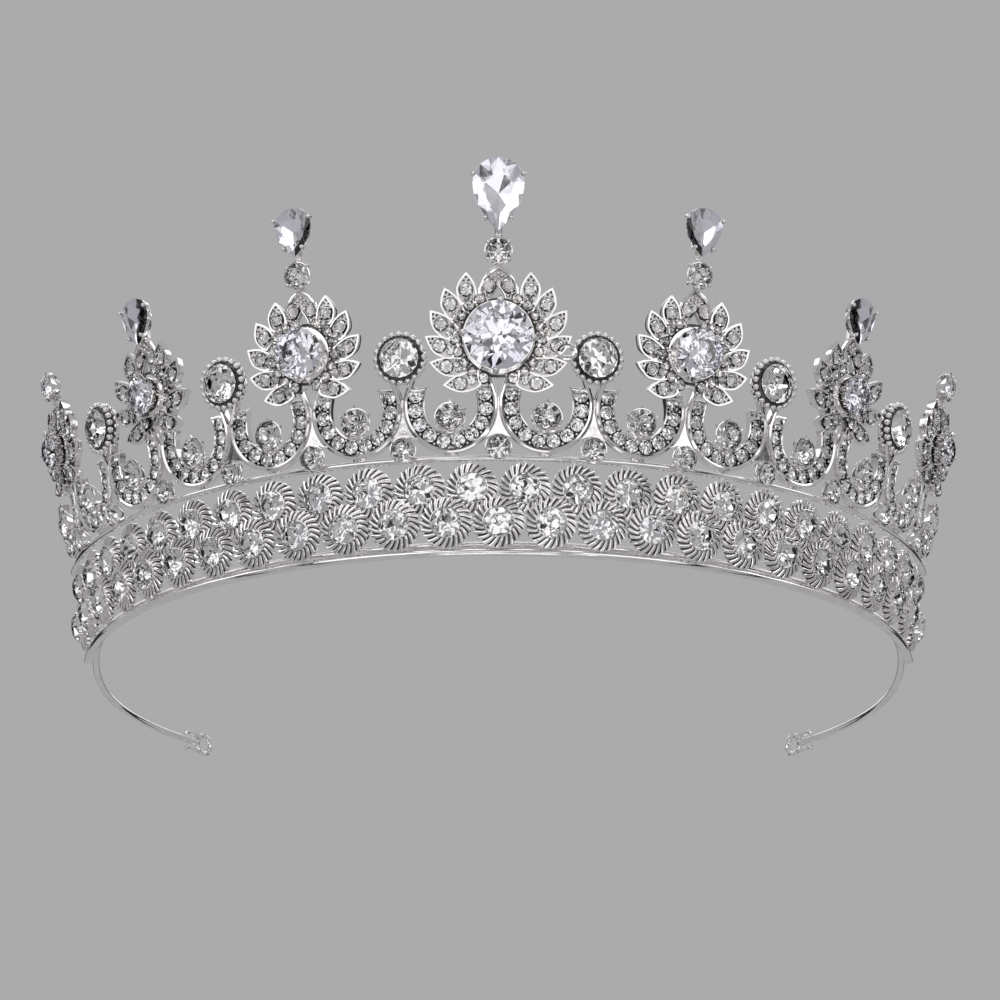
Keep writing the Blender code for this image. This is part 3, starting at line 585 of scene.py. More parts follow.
def cup(diameter, girdle, wall, sides=24):
    """Cup round the back of a round stone, parallel to it."""
    radius = diameter / 2
    tip = girdle - PAVILION_DEPTH * radius
    return turned((
        (0, tip - wall),
        (radius * 0.3, tip - wall),
        (radius + wall * 0.8, girdle - wall * 0.9),
        (radius + wall, girdle),
        (radius + wall * 0.1, girdle + wall * 0.2),
        (radius + wall * 0.1, girdle - wall * 0.3),
        (0, tip - wall * 0.2),
    ), sides)


def claw_cup(diameter, low, girdle, wire, angles):
    """Cup of a round stone with claws over its edge."""
    return gathered([cup(diameter, girdle, CUP_WALL), claws(diameter / 2, low, girdle, wire, angles)])


# Materials

def fill(node, values):
    """Sets inputs of a node by name."""
    for name, value in values.items():
        node.inputs[name].default_value = value


def nodes_of(name):
    material = bpy.data.materials.new(name)
    material.use_nodes = True
    tree = material.node_tree
    return material, tree, tree.nodes["Principled BSDF"]


def cloudy(tree, scale, detail=3.0):
    """Noise in the object's own coordinates."""
    place = tree.nodes.new("ShaderNodeTexCoord")
    noise = tree.nodes.new("ShaderNodeTexNoise")
    fill(noise, {"Scale": scale, "Detail": detail})
    tree.links.new(place.outputs["Object"], noise.inputs["Vector"])
    return noise.outputs["Fac"]


def blended(tree, value, low, high):
    """Colour that goes from low to high with a noise value."""
    ramp = tree.nodes.new("ShaderNodeValToRGB")
    ramp.color_ramp.elements[0].position = 0.35
    ramp.color_ramp.elements[0].color = (*low, 1)
    ramp.color_ramp.elements[1].position = 0.65
    ramp.color_ramp.elements[1].color = (*high, 1)
    tree.links.new(value, ramp.inputs["Fac"])
    return ramp.outputs["Color"]


def ranged(tree, value, low, high):
    span = tree.nodes.new("ShaderNodeMapRange")
    fill(span, {"From Min": 0.3, "From Max": 0.7, "To Min": low, "To Max": high})
    tree.links.new(value, span.inputs["Value"])
    return span.outputs["Result"]


def plated(name, low, high, smoothest, roughest, bump):
    """Silver plate: colour, gloss and a faint ripple that change from place to place."""
    material, tree, shader = nodes_of(name)
    fill(shader, {"Metallic": 1.0})
    tone = blended(tree, cloudy(tree, TONE_SCALE), low, high)
    gloss = ranged(tree, cloudy(tree, GLOSS_SCALE), smoothest, roughest)
    tree.links.new(tone, shader.inputs["Base Color"])
    tree.links.new(gloss, shader.inputs["Roughness"])
    ripple = tree.nodes.new("ShaderNodeBump")
    fill(ripple, {"Strength": bump, "Distance": RIPPLE_DEPTH})
    tree.links.new(cloudy(tree, RIPPLE_SCALE), ripple.inputs["Height"])
    tree.links.new(ripple.outputs["Normal"], shader.inputs["Normal"])
    return material


def clear(name, low, high, index):
    """Cut stone: clear, with a tint that changes from stone to stone."""
    material, tree, shader = nodes_of(name)
    fill(shader, {"Transmission Weight": 1.0, "Roughness": 0.0, "IOR": index})
    tree.links.new(blended(tree, cloudy(tree, TINT_SCALE), low, high), shader.inputs["Base Color"])
    return material


silver = plated("silver_plate", (0.83, 0.805, 0.80), (0.93, 0.91, 0.905), 0.06, 0.16, 0.12)
# dark plate on groove floors, bed and bezel fronts, pits and rings under stones: painted shade, not the
# metal's own colour
painted_shade_plate = plated("silver_plate_painted_shade", (0.05, 0.048, 0.047), (0.15, 0.145, 0.14), 0.25, 0.45, 0.3)
satin = plated("silver_plate_satin", (0.74, 0.72, 0.715), (0.92, 0.90, 0.895), 0.24, 0.38, 0.6)
rhinestone = clear("rhinestone", (0.97, 0.97, 0.98), (1.0, 0.99, 0.98), 1.55)
foil = plated("stone_foil", (0.88, 0.88, 0.90), (0.97, 0.96, 0.95), 0.02, 0.06, 0.05)
zirconia = clear("cubic_zirconia", (0.97, 0.97, 1.0), (0.995, 0.99, 1.0), 2.15)
zirconia_back = plated("cubic_zirconia_back", (0.93, 0.93, 0.985), (0.98, 0.97, 0.99), 0.0, 0.03, 0.03)
pear_back = plated("cubic_zirconia_pear_back", (0.90, 0.90, 0.98), (0.97, 0.96, 0.99), 0.05, 0.12, 0.03)
pear_crystal = clear("pear_crystal", (0.96, 0.96, 1.0), (1.0, 0.99, 1.0), 1.6)

# Pieces

Finish = namedtuple("Finish", "slot materials")
METAL = Finish("silver_plate", (silver, painted_shade_plate, satin))
GLASS = Finish("rhinestone", (rhinestone, foil))
GEM = Finish("cubic_zirconia", (zirconia, zirconia_back))
PEAR = Finish("cubic_zirconia", (pear_crystal, pear_back))


def added(name, data):
    """New object in the scene."""
    obj = bpy.data.objects.new(name, data)
    bpy.context.collection.objects.link(obj)
    return obj


def piece(name, data, finish, node, matrix=Matrix()):
    """Object of the tiara that rides on the model and stands for a node."""
    if not data.materials:
        for material in finish.materials:
            data.materials.append(material)
        if finish is METAL:
            data.set_sharp_from_angle(angle=SHARP_ANGLE)
    obj = added(name, data)
    obj.matrix_world = matrix
    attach(obj, "root")
    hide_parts(node)


def dressed(kind, node, data, finish, matrix):
    """Piece that is named after the one node that it stands for."""
    piece(kind + "_" + node, data, finish, node, matrix)


# Hoop, eyelets and rails

def hoop_tail(steps=28):
    """Points of the right-hand end of the hoop wire about the hoop's axis, and its last heading."""
    leave = Vector((math.cos(BAND_HALF_ANGLE), math.sin(BAND_HALF_ANGLE), 0))
    arrive = Vector((math.cos(HOOP_END_TURN), math.sin(HOOP_END_TURN), 0))
    start = Vector((WIRE_RADIUS * leave.y, -WIRE_RADIUS * leave.x, WIRE_RISE))
    end = Vector((HOOP_SPREAD, HOOP_DEPTH, WIRE_RISE))
    reach = (end - start).length * TAIL_FULLNESS
    points = interpolate_bezier(start, start + leave * reach, end - arrive * reach, end, steps + 1)
    return points[1:], arrive


def arc(radius, height, half_angle, steps=120):
    """Points along the wall about the hoop's axis."""
    angles = [half_angle * (2 * i / steps - 1) for i in range(steps + 1)]
    return [Vector((radius * math.sin(a), -radius * math.cos(a), height)) for a in angles]


def build_hoop():
    tail, heading = hoop_tail()
    path = [Vector((-p.x, p.y, p.z)) for p in reversed(tail)]
    path += arc(WIRE_RADIUS, WIRE_RISE, BAND_HALF_ANGLE) + tail
    placed = shifted(0, AXIS_Y, 0)
    piece("hoop", tube(path, WIRE_DIAMETER / 2, 12), METAL, "hoop_wire", placed)
    wire = EYELET_WIRE / 2
    ball = EYELET_BALL / 2
    middle = CLEARANCE + wire + EYELET_RADIUS
    ring = wire_ring(EYELET_RADIUS, EYELET_RADIUS, wire, 28, 10)
    parts = [(ring, shifted(middle, 0, 0) @ Matrix.Rotation(math.pi / 2, 4, "X"))]
    offset = WIRE_DIAMETER / 2 + CLEARANCE + ball
    for sign in (-1, 1):
        path = [Vector((x, 0, sign * z)) for x, z in (
            (middle - EYELET_RADIUS * 0.77, EYELET_RADIUS * 0.64),
            (CLEARANCE, offset * 1.02),
            (-EYELET_TAIL * 0.5, offset),
            (-EYELET_TAIL, offset),
        )]
        parts.append(tube(path, [wire * 0.9, wire * 0.85, wire * 0.8, wire * 0.9]))
        parts.append((bead(ball), shifted(-EYELET_TAIL - ball * 0.7, 0, sign * offset)))
    parts.append((bead(WIRE_DIAMETER * 0.62), shifted(CLEARANCE, 0, 0)))
    for side in (-1, 1):
        end = tail[-1]
        ahead = Vector((side * heading.x, heading.y, 0))
        aside = Vector((0, 0, 1)).cross(ahead)
        turn = Matrix((ahead, aside, Vector((0, 0, 1)))).transposed().to_4x4()
        place = shifted(side * end.x, end.y + AXIS_Y, end.z) @ turn
        name = "eyelet_" + SIDES[side]
        piece(name + "_wire", gathered(parts), METAL, name, place)


def swept(section, half_angle, steps=120):
    """Solid along the wall from a section of pairs of radius and height."""
    paths = [arc(radius, height, half_angle, steps) for radius, height in section]
    return loft([list(ring) for ring in zip(*paths)])


def build_rails():
    placed = shifted(0, AXIS_Y, 0)
    inner = HOOP_RADIUS
    outer = HOOP_RADIUS + LOWER_RAIL_WIDTH
    high = LOWER_RAIL_HEIGHT
    soft = high * 0.2
    edge = outer + LOWER_RAIL_EDGE * 0.7
    section = (
        (inner, soft), (inner + soft, 0), (outer, 0), (edge, soft), (outer + LOWER_RAIL_EDGE, high / 2),
        (edge, high - soft), (outer, high), (inner + soft, high), (inner, high - soft),
    )
    piece("rail_lower", swept(section, BAND_HALF_ANGLE), METAL, "lower_rail", placed)
    middle = on_wall(0, UPPER_RAIL, UPPER_RAIL_PROUD).translation
    path = arc(AXIS_Y - middle.y, middle.z, GALLERY_HALF_ANGLE)
    rail = tube(path, UPPER_RAIL_DIAMETER / 2, 12)
    piece("rail_upper", rail, METAL, "upper_rail", placed)


# Pinwheel band

def pinwheel_disc():
    """Pressed disc: bars with grooves painted dark as shade swirl from a scalloped rim up to a collar round
    the stone.
    """
    mesh = bmesh.new()
    stone = PINWHEEL_STONE / 2
    loops = []
    for k, share in enumerate(DISC_RINGS):
        radius = DISC_SEAT_RADIUS + (PINWHEEL_RADIUS - DISC_SEAT_RADIUS) * share
        rise = DISC_SEAT_RISE + (DISC_RIM_RISE - DISC_SEAT_RISE) * share ** 1.3
        depth = PLEAT_DEPTH * (0.6 + 0.4 * share)
        loop = []
        for i in range(PLEATS):
            for part, crest in PLEAT_SECTION:
                angle = 2 * math.pi * (i + part) / PLEATS + PLEAT_SWIRL * share
                reach = radius * (1 + PLEAT_SCALLOP * share * crest)
                height = rise + depth * crest if k else rise - DISC_EDGE
                loop.append(mesh.verts.new((reach * math.sin(angle), reach * math.cos(angle), height)))
        loops.append(loop)
    sides = len(loops[0])
    for wall, lift in DISC_COLLAR:
        loops.append([mesh.verts.new(p) for p in circle(stone + wall, PINWHEEL_GIRDLE + lift, sides)])
    loops.append([mesh.verts.new((0, 0, PINWHEEL_GIRDLE - PAVILION_DEPTH * stone - 0.0001))])
    loops.insert(0, [mesh.verts.new(p) for p in circle(DISC_SEAT_RADIUS * 0.7, 0.0, sides)])
    loops.insert(0, [mesh.verts.new((0, 0, -0.0002))])
    fluted = []  # faces between the disc's own rings, which come after the tip and the underside
    for k, (lower, upper) in enumerate(zip(loops, loops[1:])):
        before = set(mesh.faces)
        bridge(mesh, lower, upper)
        if k in range(2, len(DISC_RINGS) + 1):
            fluted += [face for face in mesh.faces if face not in before]
    # the floor of every groove takes the dark plate: painted shade
    in_pleat = len(PLEAT_SECTION)
    for i, face in enumerate(fluted):
        if i % in_pleat == in_pleat - 2:
            face.material_index = 1
    return finished(mesh, False)


def build_band():
    disc = pinwheel_disc()
    stone = brilliant(PINWHEEL_STONE)
    discs = []
    stones = []
    lower = (LOWER_ROW, PINWHEELS_IN_LOWER_ROW, 0.0)
    upper = (UPPER_ROW, PINWHEELS_IN_LOWER_ROW - 1, -ROW_SET_BACK)
    for row, count, proud in (lower, upper):
        for i in range(count):
            here = on_wall((i - (count - 1) / 2) * PINWHEEL_STEP, row, proud)
            discs.append((disc, here @ spun(GOLDEN_TURN * i)))
            stones.append((stone, here @ shifted(0, 0, PINWHEEL_GIRDLE) @ nudged(len(stones))))
    piece("band_discs", gathered(discs), METAL, "pinwheel_band")
    piece("band_stones", gathered(stones), GLASS, "pinwheel_band")


# Scroll gallery

def bowl(radius, steps=36):
    """Lower half of a scroll's circle, from its left end to its right end."""
    angles = [math.pi * i / steps for i in range(steps + 1)]
    return [Vector((-radius * math.cos(a), SCROLL_WAIST - radius * math.sin(a))) for a in angles]


def leaning_arm(radius, steps=6):
    """Right arm of a horseshoe line, from the waist up."""
    shares = [i / steps for i in range(1, steps + 1)]
    return [Vector((radius - ARM_LEAN * t * t, SCROLL_WAIST + SCROLL_ARM * t)) for t in shares]


def forked_arm(radius, steps=12):
    """Right end of an outer rim that goes on as one side of a stem's fork."""
    points = []
    for i in range(1, steps + 1):
        rise = FORK_END * i / steps
        over = max(0, rise - FORK_START)
        points.append(Vector((radius - FORK_LEAN * over - FORK_CURL * over ** 2, SCROLL_WAIST + rise)))
    return points


def horseshoe(radius, left_arm=leaning_arm, right_arm=leaning_arm):
    """Flat line of a scroll, from the top of its left arm round the bowl to the top of its right arm."""
    left = [Vector((-p.x, p.y)) for p in reversed(left_arm(radius))]
    return left + bowl(radius) + right_arm(radius)


def along(path, count, margin):
    """Even places along a path, as pairs of a point and the heading there."""
    lengths = [0.0]
    for a, b in zip(path, path[1:]):
        lengths.append(lengths[-1] + (b - a).length)
    places = []
    for i in range(count):
        want = margin + (lengths[-1] - 2 * margin) * i / (count - 1)
        k = max(j for j in range(len(path) - 1) if lengths[j] <= want)
        share = (want - lengths[k]) / (lengths[k + 1] - lengths[k])
        places.append((path[k].lerp(path[k + 1], share), (path[k + 1] - path[k]).normalized()))
    return places


def outer_rim(left_arm, right_arm):
    """Stout polished rim of a scroll, rounded on its front."""
    half = OUTER_RIM_WIDTH / 2
    section = (
        (-half, BACK_LIFT), (half, BACK_LIFT), (half, RIM_RISE - half), (half * 0.7, RIM_RISE - half * 0.3),
        (0, RIM_RISE), (-half * 0.7, RIM_RISE - half * 0.3), (-half, RIM_RISE - half),
    )
    return bar(horseshoe(OUTER_RIM_RADIUS, left_arm, right_arm), section)


def scroll_metal():
    """Channel of a scroll inside its outer rim: a bed whose front is painted dark as shade, a thin inner rim,
    and closed, horned arms.
    """
    edge = BED_WIDTH / 2
    bed = ((-edge, BACK_LIFT), (edge, BACK_LIFT), (edge, BED_RISE), (-edge, BED_RISE))
    half = INNER_RIM_WIDTH / 2
    front = RIM_RISE - 0.0002
    wall = ((-half, BACK_LIFT), (half, BACK_LIFT), (half, front - half), (0, front), (-half, front - half))
    parts = [
        # front of the bed takes the dark plate: painted shade
        fronted(bar(horseshoe(BED_RADIUS), bed), 1),
        bar(horseshoe(INNER_RIM_RADIUS), wall),
        (bead(0.0012, 0.4), shifted(0, SCROLL_FOOT + 0.0002, 0.0008)),
    ]
    top = SCROLL_WAIST + SCROLL_ARM
    inner = INNER_RIM_RADIUS - ARM_LEAN
    outer = OUTER_RIM_RADIUS - ARM_LEAN
    for side in (-1, 1):
        cap = [Vector((side * x, top + y, RIM_RISE - sunk)) for x, y, sunk in (
            (outer - 0.0002, -0.0002, 0.0003),
            (outer - 0.0009, 0.0001, 0.0003),
            (inner + 0.0006, 0.0001, 0.0003),
            (inner, 0.0002, 0.0003),
            (inner - 0.0004, 0.0006, 0.0004),
        )]
        parts.append(tube(cap, [0.00030, 0.00028, 0.00026, 0.00024, 0.00008]))
    return gathered(parts)


def scroll_stones():
    """Small stones set close along one scroll, and the grains of metal that hold them."""
    line = level(horseshoe(PAVE_RADIUS), 0)
    stone = brilliant(PAVE_STONE, 6)
    grain = bead(GRAIN_RADIUS)
    stones = []
    grains = []
    for i, (point, _) in enumerate(along(line, PAVE_PER_SCROLL, PAVE_TOP_GAP)):
        stones.append((stone, shifted(point.x, point.y, PAVE_GIRDLE) @ nudged(i)))
    for point, heading in along(line, 2 * PAVE_PER_SCROLL - 1, PAVE_TOP_GAP)[1::2]:
        aside = Vector((heading.y, -heading.x, 0))
        for sign in (-1, 1):
            at = point + aside * sign * PAVE_STONE * 0.38
            grains.append((grain, shifted(at.x, at.y, PAVE_GIRDLE + 0.0001)))
    return gathered(stones), gathered(grains)


def stem_web():
    """Plate between two neighbouring rims, from the foot stone up to the eye of the fork."""
    right = [(x, SCROLL_FOOT + y) for x, y in (
        (0.0, 0.0029), (0.0012, 0.0027), (0.0022, 0.0023), (0.0013, 0.0040), (0.00075, 0.0055),
        (0.0005, 0.0074), (0.00042, 0.0084), (0.0, 0.0087),
    )]
    return plate(mirrored(right), 0.0003, 0.0014)


def beaded_bezel():
    """Cup with a front painted dark as shade, two rows of bright beads round it, and a thin lip at the stone.
    """
    radius = BEADED_STONE / 2
    # front of the cup takes the dark plate: painted shade
    body = fronted(turned((
        (0, BACK_LIFT),
        (BEADED_RADIUS * 0.76, 0.0002),
        (BEADED_RADIUS * 0.88, 0.0012),
        (BEADED_RADIUS * 0.86, 0.0020),
        (radius + 0.0003, BEADED_GIRDLE - 0.0004),
        (radius + 0.00004, BEADED_GIRDLE - 0.0002),
        (0, BEADED_GIRDLE - PAVILION_DEPTH * radius - 0.0001),
    ), 48), 1)
    parts = [body]
    large = bead(BEAD_RADIUS, sides=10)
    small = bead(BEAD_RADIUS * 0.85)
    for i in range(BEADS):
        turn = spun(2 * math.pi * i / BEADS)
        parts.append((large, turn @ shifted(0, BEADED_RADIUS - BEAD_RADIUS, 0.0023)))
        turn = spun(2 * math.pi * (i + 0.5) / BEADS)
        parts.append((small, turn @ shifted(0, BEADED_RADIUS * 0.86, 0.0012)))
    return gathered(parts)


def build_gallery():
    frames = []
    pave = []
    feet = []
    channel = scroll_metal()
    pave_set, grain_set = scroll_stones()
    rims = {
        0: outer_rim(leaning_arm, forked_arm),
        SCROLL_COUNT - 1: outer_rim(forked_arm, leaning_arm),
    }
    inside = outer_rim(forked_arm, forked_arm)
    lug = [Vector((0, -CUP_STONE * share, LUG_RADIUS)) for share in (0.28, 0.68)]
    cup_metal = gathered([
        claw_cup(CUP_STONE, LUG_RADIUS, CUP_GIRDLE, CLAW_WIRE, CUP_CLAWS),
        prongs(CUP_STONE / 2, CUP_GIRDLE, PRONG_LENGTH, PRONG_WIRE, CUP_PRONGS),
        tube(lug, LUG_RADIUS),
    ])
    cup_stone = brilliant(CUP_STONE)
    for i in range(SCROLL_COUNT):
        angle = (i - (SCROLL_COUNT - 1) / 2) * SCROLL_STEP
        here = on_wall(angle)
        frames += [(channel, here), (rims.get(i, inside), here), (grain_set, here)]
        frames.append((cup_metal, here @ shifted(0, CUP_CENTRE, 0)))
        pave.append((pave_set, here))
        side = -1 if i < SCROLL_COUNT / 2 else 1
        place = i + 1 - SCROLL_COUNT // 2 if side > 0 else SCROLL_COUNT // 2 - i
        at = on_wall(angle, CUP_CENTRE, CUP_GIRDLE) @ nudged(i)
        dressed("cut", "cup_stone_%s_%d" % (SIDES[side], place), cup_stone, GLASS, at)
    web = stem_web()
    foot_cup = claw_cup(FOOT_STONE, FOOT_RISE, FOOT_GIRDLE, CLAW_WIRE, FOUR_CLAWS)
    foot_stone = brilliant(FOOT_STONE)
    bezel = beaded_bezel()
    beaded_stone = brilliant(BEADED_STONE)
    for index in range(1 - SCROLL_COUNT // 2, SCROLL_COUNT // 2):
        angle = index * SCROLL_STEP
        foot = on_wall(angle, SCROLL_FOOT + FOOT_RISE)
        frames += [(web, on_wall(angle)), (foot_cup, foot)]
        feet.append((foot_stone, foot @ shifted(0, 0, FOOT_GIRDLE) @ nudged(index + 20)))
        if index % 2:
            frames.append((bezel, on_wall(angle, BEADED_CENTRE)))
            node = "beaded_stone_%s_%d" % (SIDES[1 if index > 0 else -1], abs(index) // 2 + 1)
            at = on_wall(angle, BEADED_CENTRE, BEADED_GIRDLE) @ nudged(index + 40)
            dressed("cut", node, beaded_stone, GLASS, at)
    piece("gallery_frames", gathered(frames), METAL, "scroll_gallery")
    piece("gallery_pave", gathered(pave), GLASS, "scroll_gallery")
    piece("gallery_foot_stones", gathered(feet), GLASS, "scroll_gallery")


# Leaf clusters

def polar(radius, angle):
    return Vector((radius * math.sin(angle), radius * math.cos(angle), 0))


def leaf_outline(length, curl, steps=5):
    """Petal along +y from its foot at the origin, full to its middle, then pointed and bent to one side."""
    right = [(0.74, 0.0), (0.92, 0.08), (1.0, 0.2)]
    for i in range(steps):
        t = i / steps
        right.append((1 - t ** 1.9, LEAF_FULL_TO + (1 - LEAF_FULL_TO) * t))
    sides = right + [(0, 1)] + [(-x, y) for x, y in reversed(right)]
    return [(LEAF_HALF_WIDTH * x + curl * math.sin(math.pi * y), length * y) for x, y in sides]


def painted_shade_ring(stone, floor, rise, share=0.58):
    """Ring under the edge of a small stone, painted dark as its shadow."""
    return ring_band(stone * 0.40, stone * share, floor, floor + rise, 20, slot=1)


def leaf(length, curl):
    """Leaf with a raised rim round a shallow bed, a ring of painted shadow under its stone, and pits at its
    tip painted as dark discs of shade.
    """
    outline = leaf_outline(length, curl)
    belly = length * LEAF_FULL_TO

    def ring(share, height):
        pairs = [(curl + (x - curl) * share, belly + (y - belly) * share) for x, y in outline]
        return level(pairs, height)

    shell = loft([
        ring(0.92, 0.00015),
        ring(1.0, LEAF_RIM_RISE - 0.0003),
        ring(0.97, LEAF_RIM_RISE),
        ring(0.82, LEAF_RIM_RISE),
        ring(0.77, LEAF_BED_RISE),
    ])
    bed = loft([ring(0.78, LEAF_BED_RISE - 0.0001), ring(0.78, LEAF_BED_RISE + 0.00002)], slot=2)
    # dark ring under the leaf's stone: painted shadow
    shade_ring = painted_shade_ring(LEAF_STONE, LEAF_BED_RISE, SHADE_RING_RISE)
    # pit: flat dark disc just over the bed, painted shade where a hollow would be
    painted_pit = turned((
        (0, LEAF_BED_RISE),
        (PAINTED_PIT_RADIUS, LEAF_BED_RISE),
        (PAINTED_PIT_RADIUS * 0.9, LEAF_BED_RISE + 0.00004),
        (0, LEAF_BED_RISE + 0.00003),
    ), 8, slot=1)
    grain = bead(GRAIN_RADIUS * 0.8)
    stone = length - LEAF_STONE_BACK
    parts = [shell, bed, (shade_ring, shifted(curl, stone, 0))]
    for x, back in LEAF_PAINTED_PITS:
        parts.append((painted_pit, shifted(x + curl * 0.5, length - back, 0)))
    for x, y in ((0.8, 0.62), (-0.8, 0.62), (0.8, -0.66), (-0.8, -0.66)):
        at = shifted(curl + x * LEAF_STONE / 2, stone + y * LEAF_STONE / 2 * 1.25, LEAF_GIRDLE)
        parts.append((grain, at))
    return gathered(parts)


def wreath_plate(size, collet_radius, wreath):
    """Plate under the leaves, drawn in to the cluster's foot below and to the collet under the arch."""
    outline = []
    turns = [2 * math.pi * i / CLUSTER_SIDES for i in range(CLUSTER_SIDES)]
    for angle in turns:
        turn = min(angle, 2 * math.pi - angle)
        drawn_in = max(0, turn - LEAF_LAST) / (math.pi - LEAF_LAST)
        under_arch = max(0, 1 - turn / LEAF_FIRST)
        radius = wreath + (size.foot - wreath) * drawn_in
        outline.append(polar(radius + (collet_radius * 0.98 - radius) * min(1, 2 * under_arch), angle))
    hole = [polar(collet_radius * 0.69, angle) for angle in turns]
    levels = ((outline, BACK_LIFT), (outline, WREATH_RISE), (hole, WREATH_RISE), (hole, BACK_LIFT))
    rings = [[p + Vector((0, 0, height)) for p in loop] for loop, height in levels]
    return loft(rings, closed=True, slot=2)


def set_leaves(size, leaf_foot, metal, stones):
    """Adds the leaves of both sides, each with a large and a small stone."""
    leaf_stone = brilliant(LEAF_STONE, 6)
    small = brilliant(LEAF_SMALL_STONE, 6)
    angles = [LEAF_FIRST + (LEAF_LAST - LEAF_FIRST) * i / (size.leaves - 1) for i in range(size.leaves)]
    for side in (-1, 1):
        for i, angle in enumerate(angles):
            sweep = LEAF_SWEEP + LEAF_SWEEP_MORE * i / (size.leaves - 1)
            foot = polar(leaf_foot, side * (angle + sweep))
            blade = polar(size.reach, side * angle) - foot
            turn = spun(math.atan2(blade.x, blade.y))
            here = shifted(foot.x, foot.y, LEAF_LIFT + LEAF_LAYER * (i % 2)) @ turn
            reach = blade.length
            curl = side * LEAF_CURL
            metal.append((leaf(reach, curl), here))
            at = shifted(curl, reach - LEAF_STONE_BACK, LEAF_GIRDLE) @ nudged(i)
            stones.append((leaf_stone, here @ at))
            at = shifted(curl * 0.6, reach - LEAF_SMALL_BACK, LEAF_GIRDLE + 0.0001) @ nudged(i + 9)
            stones.append((small, here @ at))


def set_wreath(collet_radius, metal, stones):
    """Adds the row of stones round the collet, with a ring of painted shadow under each and grains."""
    row = collet_radius + WREATH_STONE * 0.72
    wreath_stone = brilliant(WREATH_STONE, 6)
    grain = bead(GRAIN_RADIUS)
    count = max(2, int(2 * WREATH_SPREAD * row / (WREATH_STONE * 1.18)))
    half_step = WREATH_SPREAD / (count - 1)
    # dark ring under each wreath stone: painted shadow
    shade_ring = painted_shade_ring(WREATH_STONE, WREATH_RISE, WREATH_SHADE_RING_RISE, 0.60)
    for i in range(count):
        angle = -WREATH_SPREAD + 2 * WREATH_SPREAD * i / (count - 1)
        if abs(angle) > WREATH_GAP:
            here = spun(angle) @ shifted(0, row, 0)
            stones.append((wreath_stone, here @ shifted(0, 0, WREATH_GIRDLE) @ nudged(i)))
            metal.append((shade_ring, here))
            for share in (-0.45, 0.45):
                at = shifted(0, row + WREATH_STONE * share, WREATH_GIRDLE)
                metal.append((grain, spun(angle + half_step) @ at))
def arch(size, low):
    """Pointed arch over the collet: a stout rim that meets under the finial, and a bed round an eye."""
    top = size.point - 0.0002
    front = LEAF_RIM_RISE - 0.0002
    stretch = (top - low) / ARCH_HEIGHT

    def placed(pairs):
        return [(x, low + y * stretch) for x, y in pairs]

    rim = placed(ARCH_RIM)
    eye = placed(ARCH_EYE)
    parts = []
    stones = []
    stone = brilliant(ARCH_STONE, 6)
    # dark ring under each stone of the arch: painted shadow
    shade_ring = painted_shade_ring(ARCH_STONE, LEAF_BED_RISE, SHADE_RING_RISE)
    across, up = placed((ARCH_STONE_PLACE,))[0]
    for side in (-1, 1):
        parts.append(tube(level([(side * x, y) for x, y in rim], front), ARCH_RIM_WIRE))
        parts.append(tube(level([(side * x, y) for x, y in eye], front), ARCH_EYE_WIRE, 6))
        bed = [(side * x, y) for x, y in rim + [(0.0, top)] + list(reversed(eye))]
        parts.append(plate(bed, LEAF_LIFT, LEAF_BED_RISE, slot=2))
        parts.append((shade_ring, shifted(side * across, up, 0)))
        stones.append((stone, shifted(side * across, up, LEAF_GIRDLE) @ nudged(3 + side)))
    grain = bead(GRAIN_RADIUS * 1.5)
    for x, y in placed(ARCH_GRAINS):
        for side in (1, -1) if x else (1,):
            parts.append((grain, shifted(side * x, y, LEAF_BED_RISE + 0.00015)))
    return gathered(parts), gathered(stones)


def collet(size, radius):
    """Tall smooth collet on a flange, its rim just under the stone's girdle, and four claws."""
    girdle = size.rise
    stone = size.stone / 2
    shell = loft([circle(r, z, CLUSTER_SIDES) for r, z in (
        (stone * 0.80, 0.0003),
        (radius, 0.0003),
        (radius + 0.0002, WREATH_RISE + 0.0002),
        (radius, WREATH_RISE + 0.0004),
        (stone * 0.94, WREATH_RISE + 0.0005),
        (stone * 0.99, girdle - 0.0006),
        (stone * 1.015, girdle - 0.0002),
        (stone * 0.97, girdle - 0.0002),
        (stone * 0.86, WREATH_RISE + 0.0006),
    )], closed=True)
    fingers = claws(stone, WREATH_RISE, girdle, 0.0003 + stone * 0.035, COLLET_CLAWS)
    # dark ring round the collet's foot at the wreath: painted shadow under the stone
    shade = ring_band(radius + 0.0001, radius + 0.0006, WREATH_RISE, WREATH_RISE + 0.00012, slot=1)
    return gathered([shell, shade, fingers])


def cluster_meshes(size):
    """Metal and small stones of one leaf cluster."""
    collet_radius = size.stone / 2 + COLLET_WALL
    wreath = size.reach * WREATH_REACH
    arch_metal, arch_stones = arch(size, collet_radius + 0.0005)
    metal = [wreath_plate(size, collet_radius, wreath), collet(size, collet_radius), arch_metal]
    stones = [arch_stones]
    set_leaves(size, (collet_radius + wreath) / 2, metal, stones)
    set_wreath(collet_radius, metal, stones)
    return gathered(metal), gathered(stones)


# Finials

def finial_girdle(width):
    return FINIAL_FLOOR + width / 2 * FINIAL_SEAT


def pear_band(length, width, shares):
    """Rings of a pear outline at pairs of a share of its size and a height."""
    rings = []
    for share, height in shares:
        points = [pear_point(2 * math.pi * i / 40, length, width) * share for i in range(40)]
        rings.append(level(points, height))
    return rings


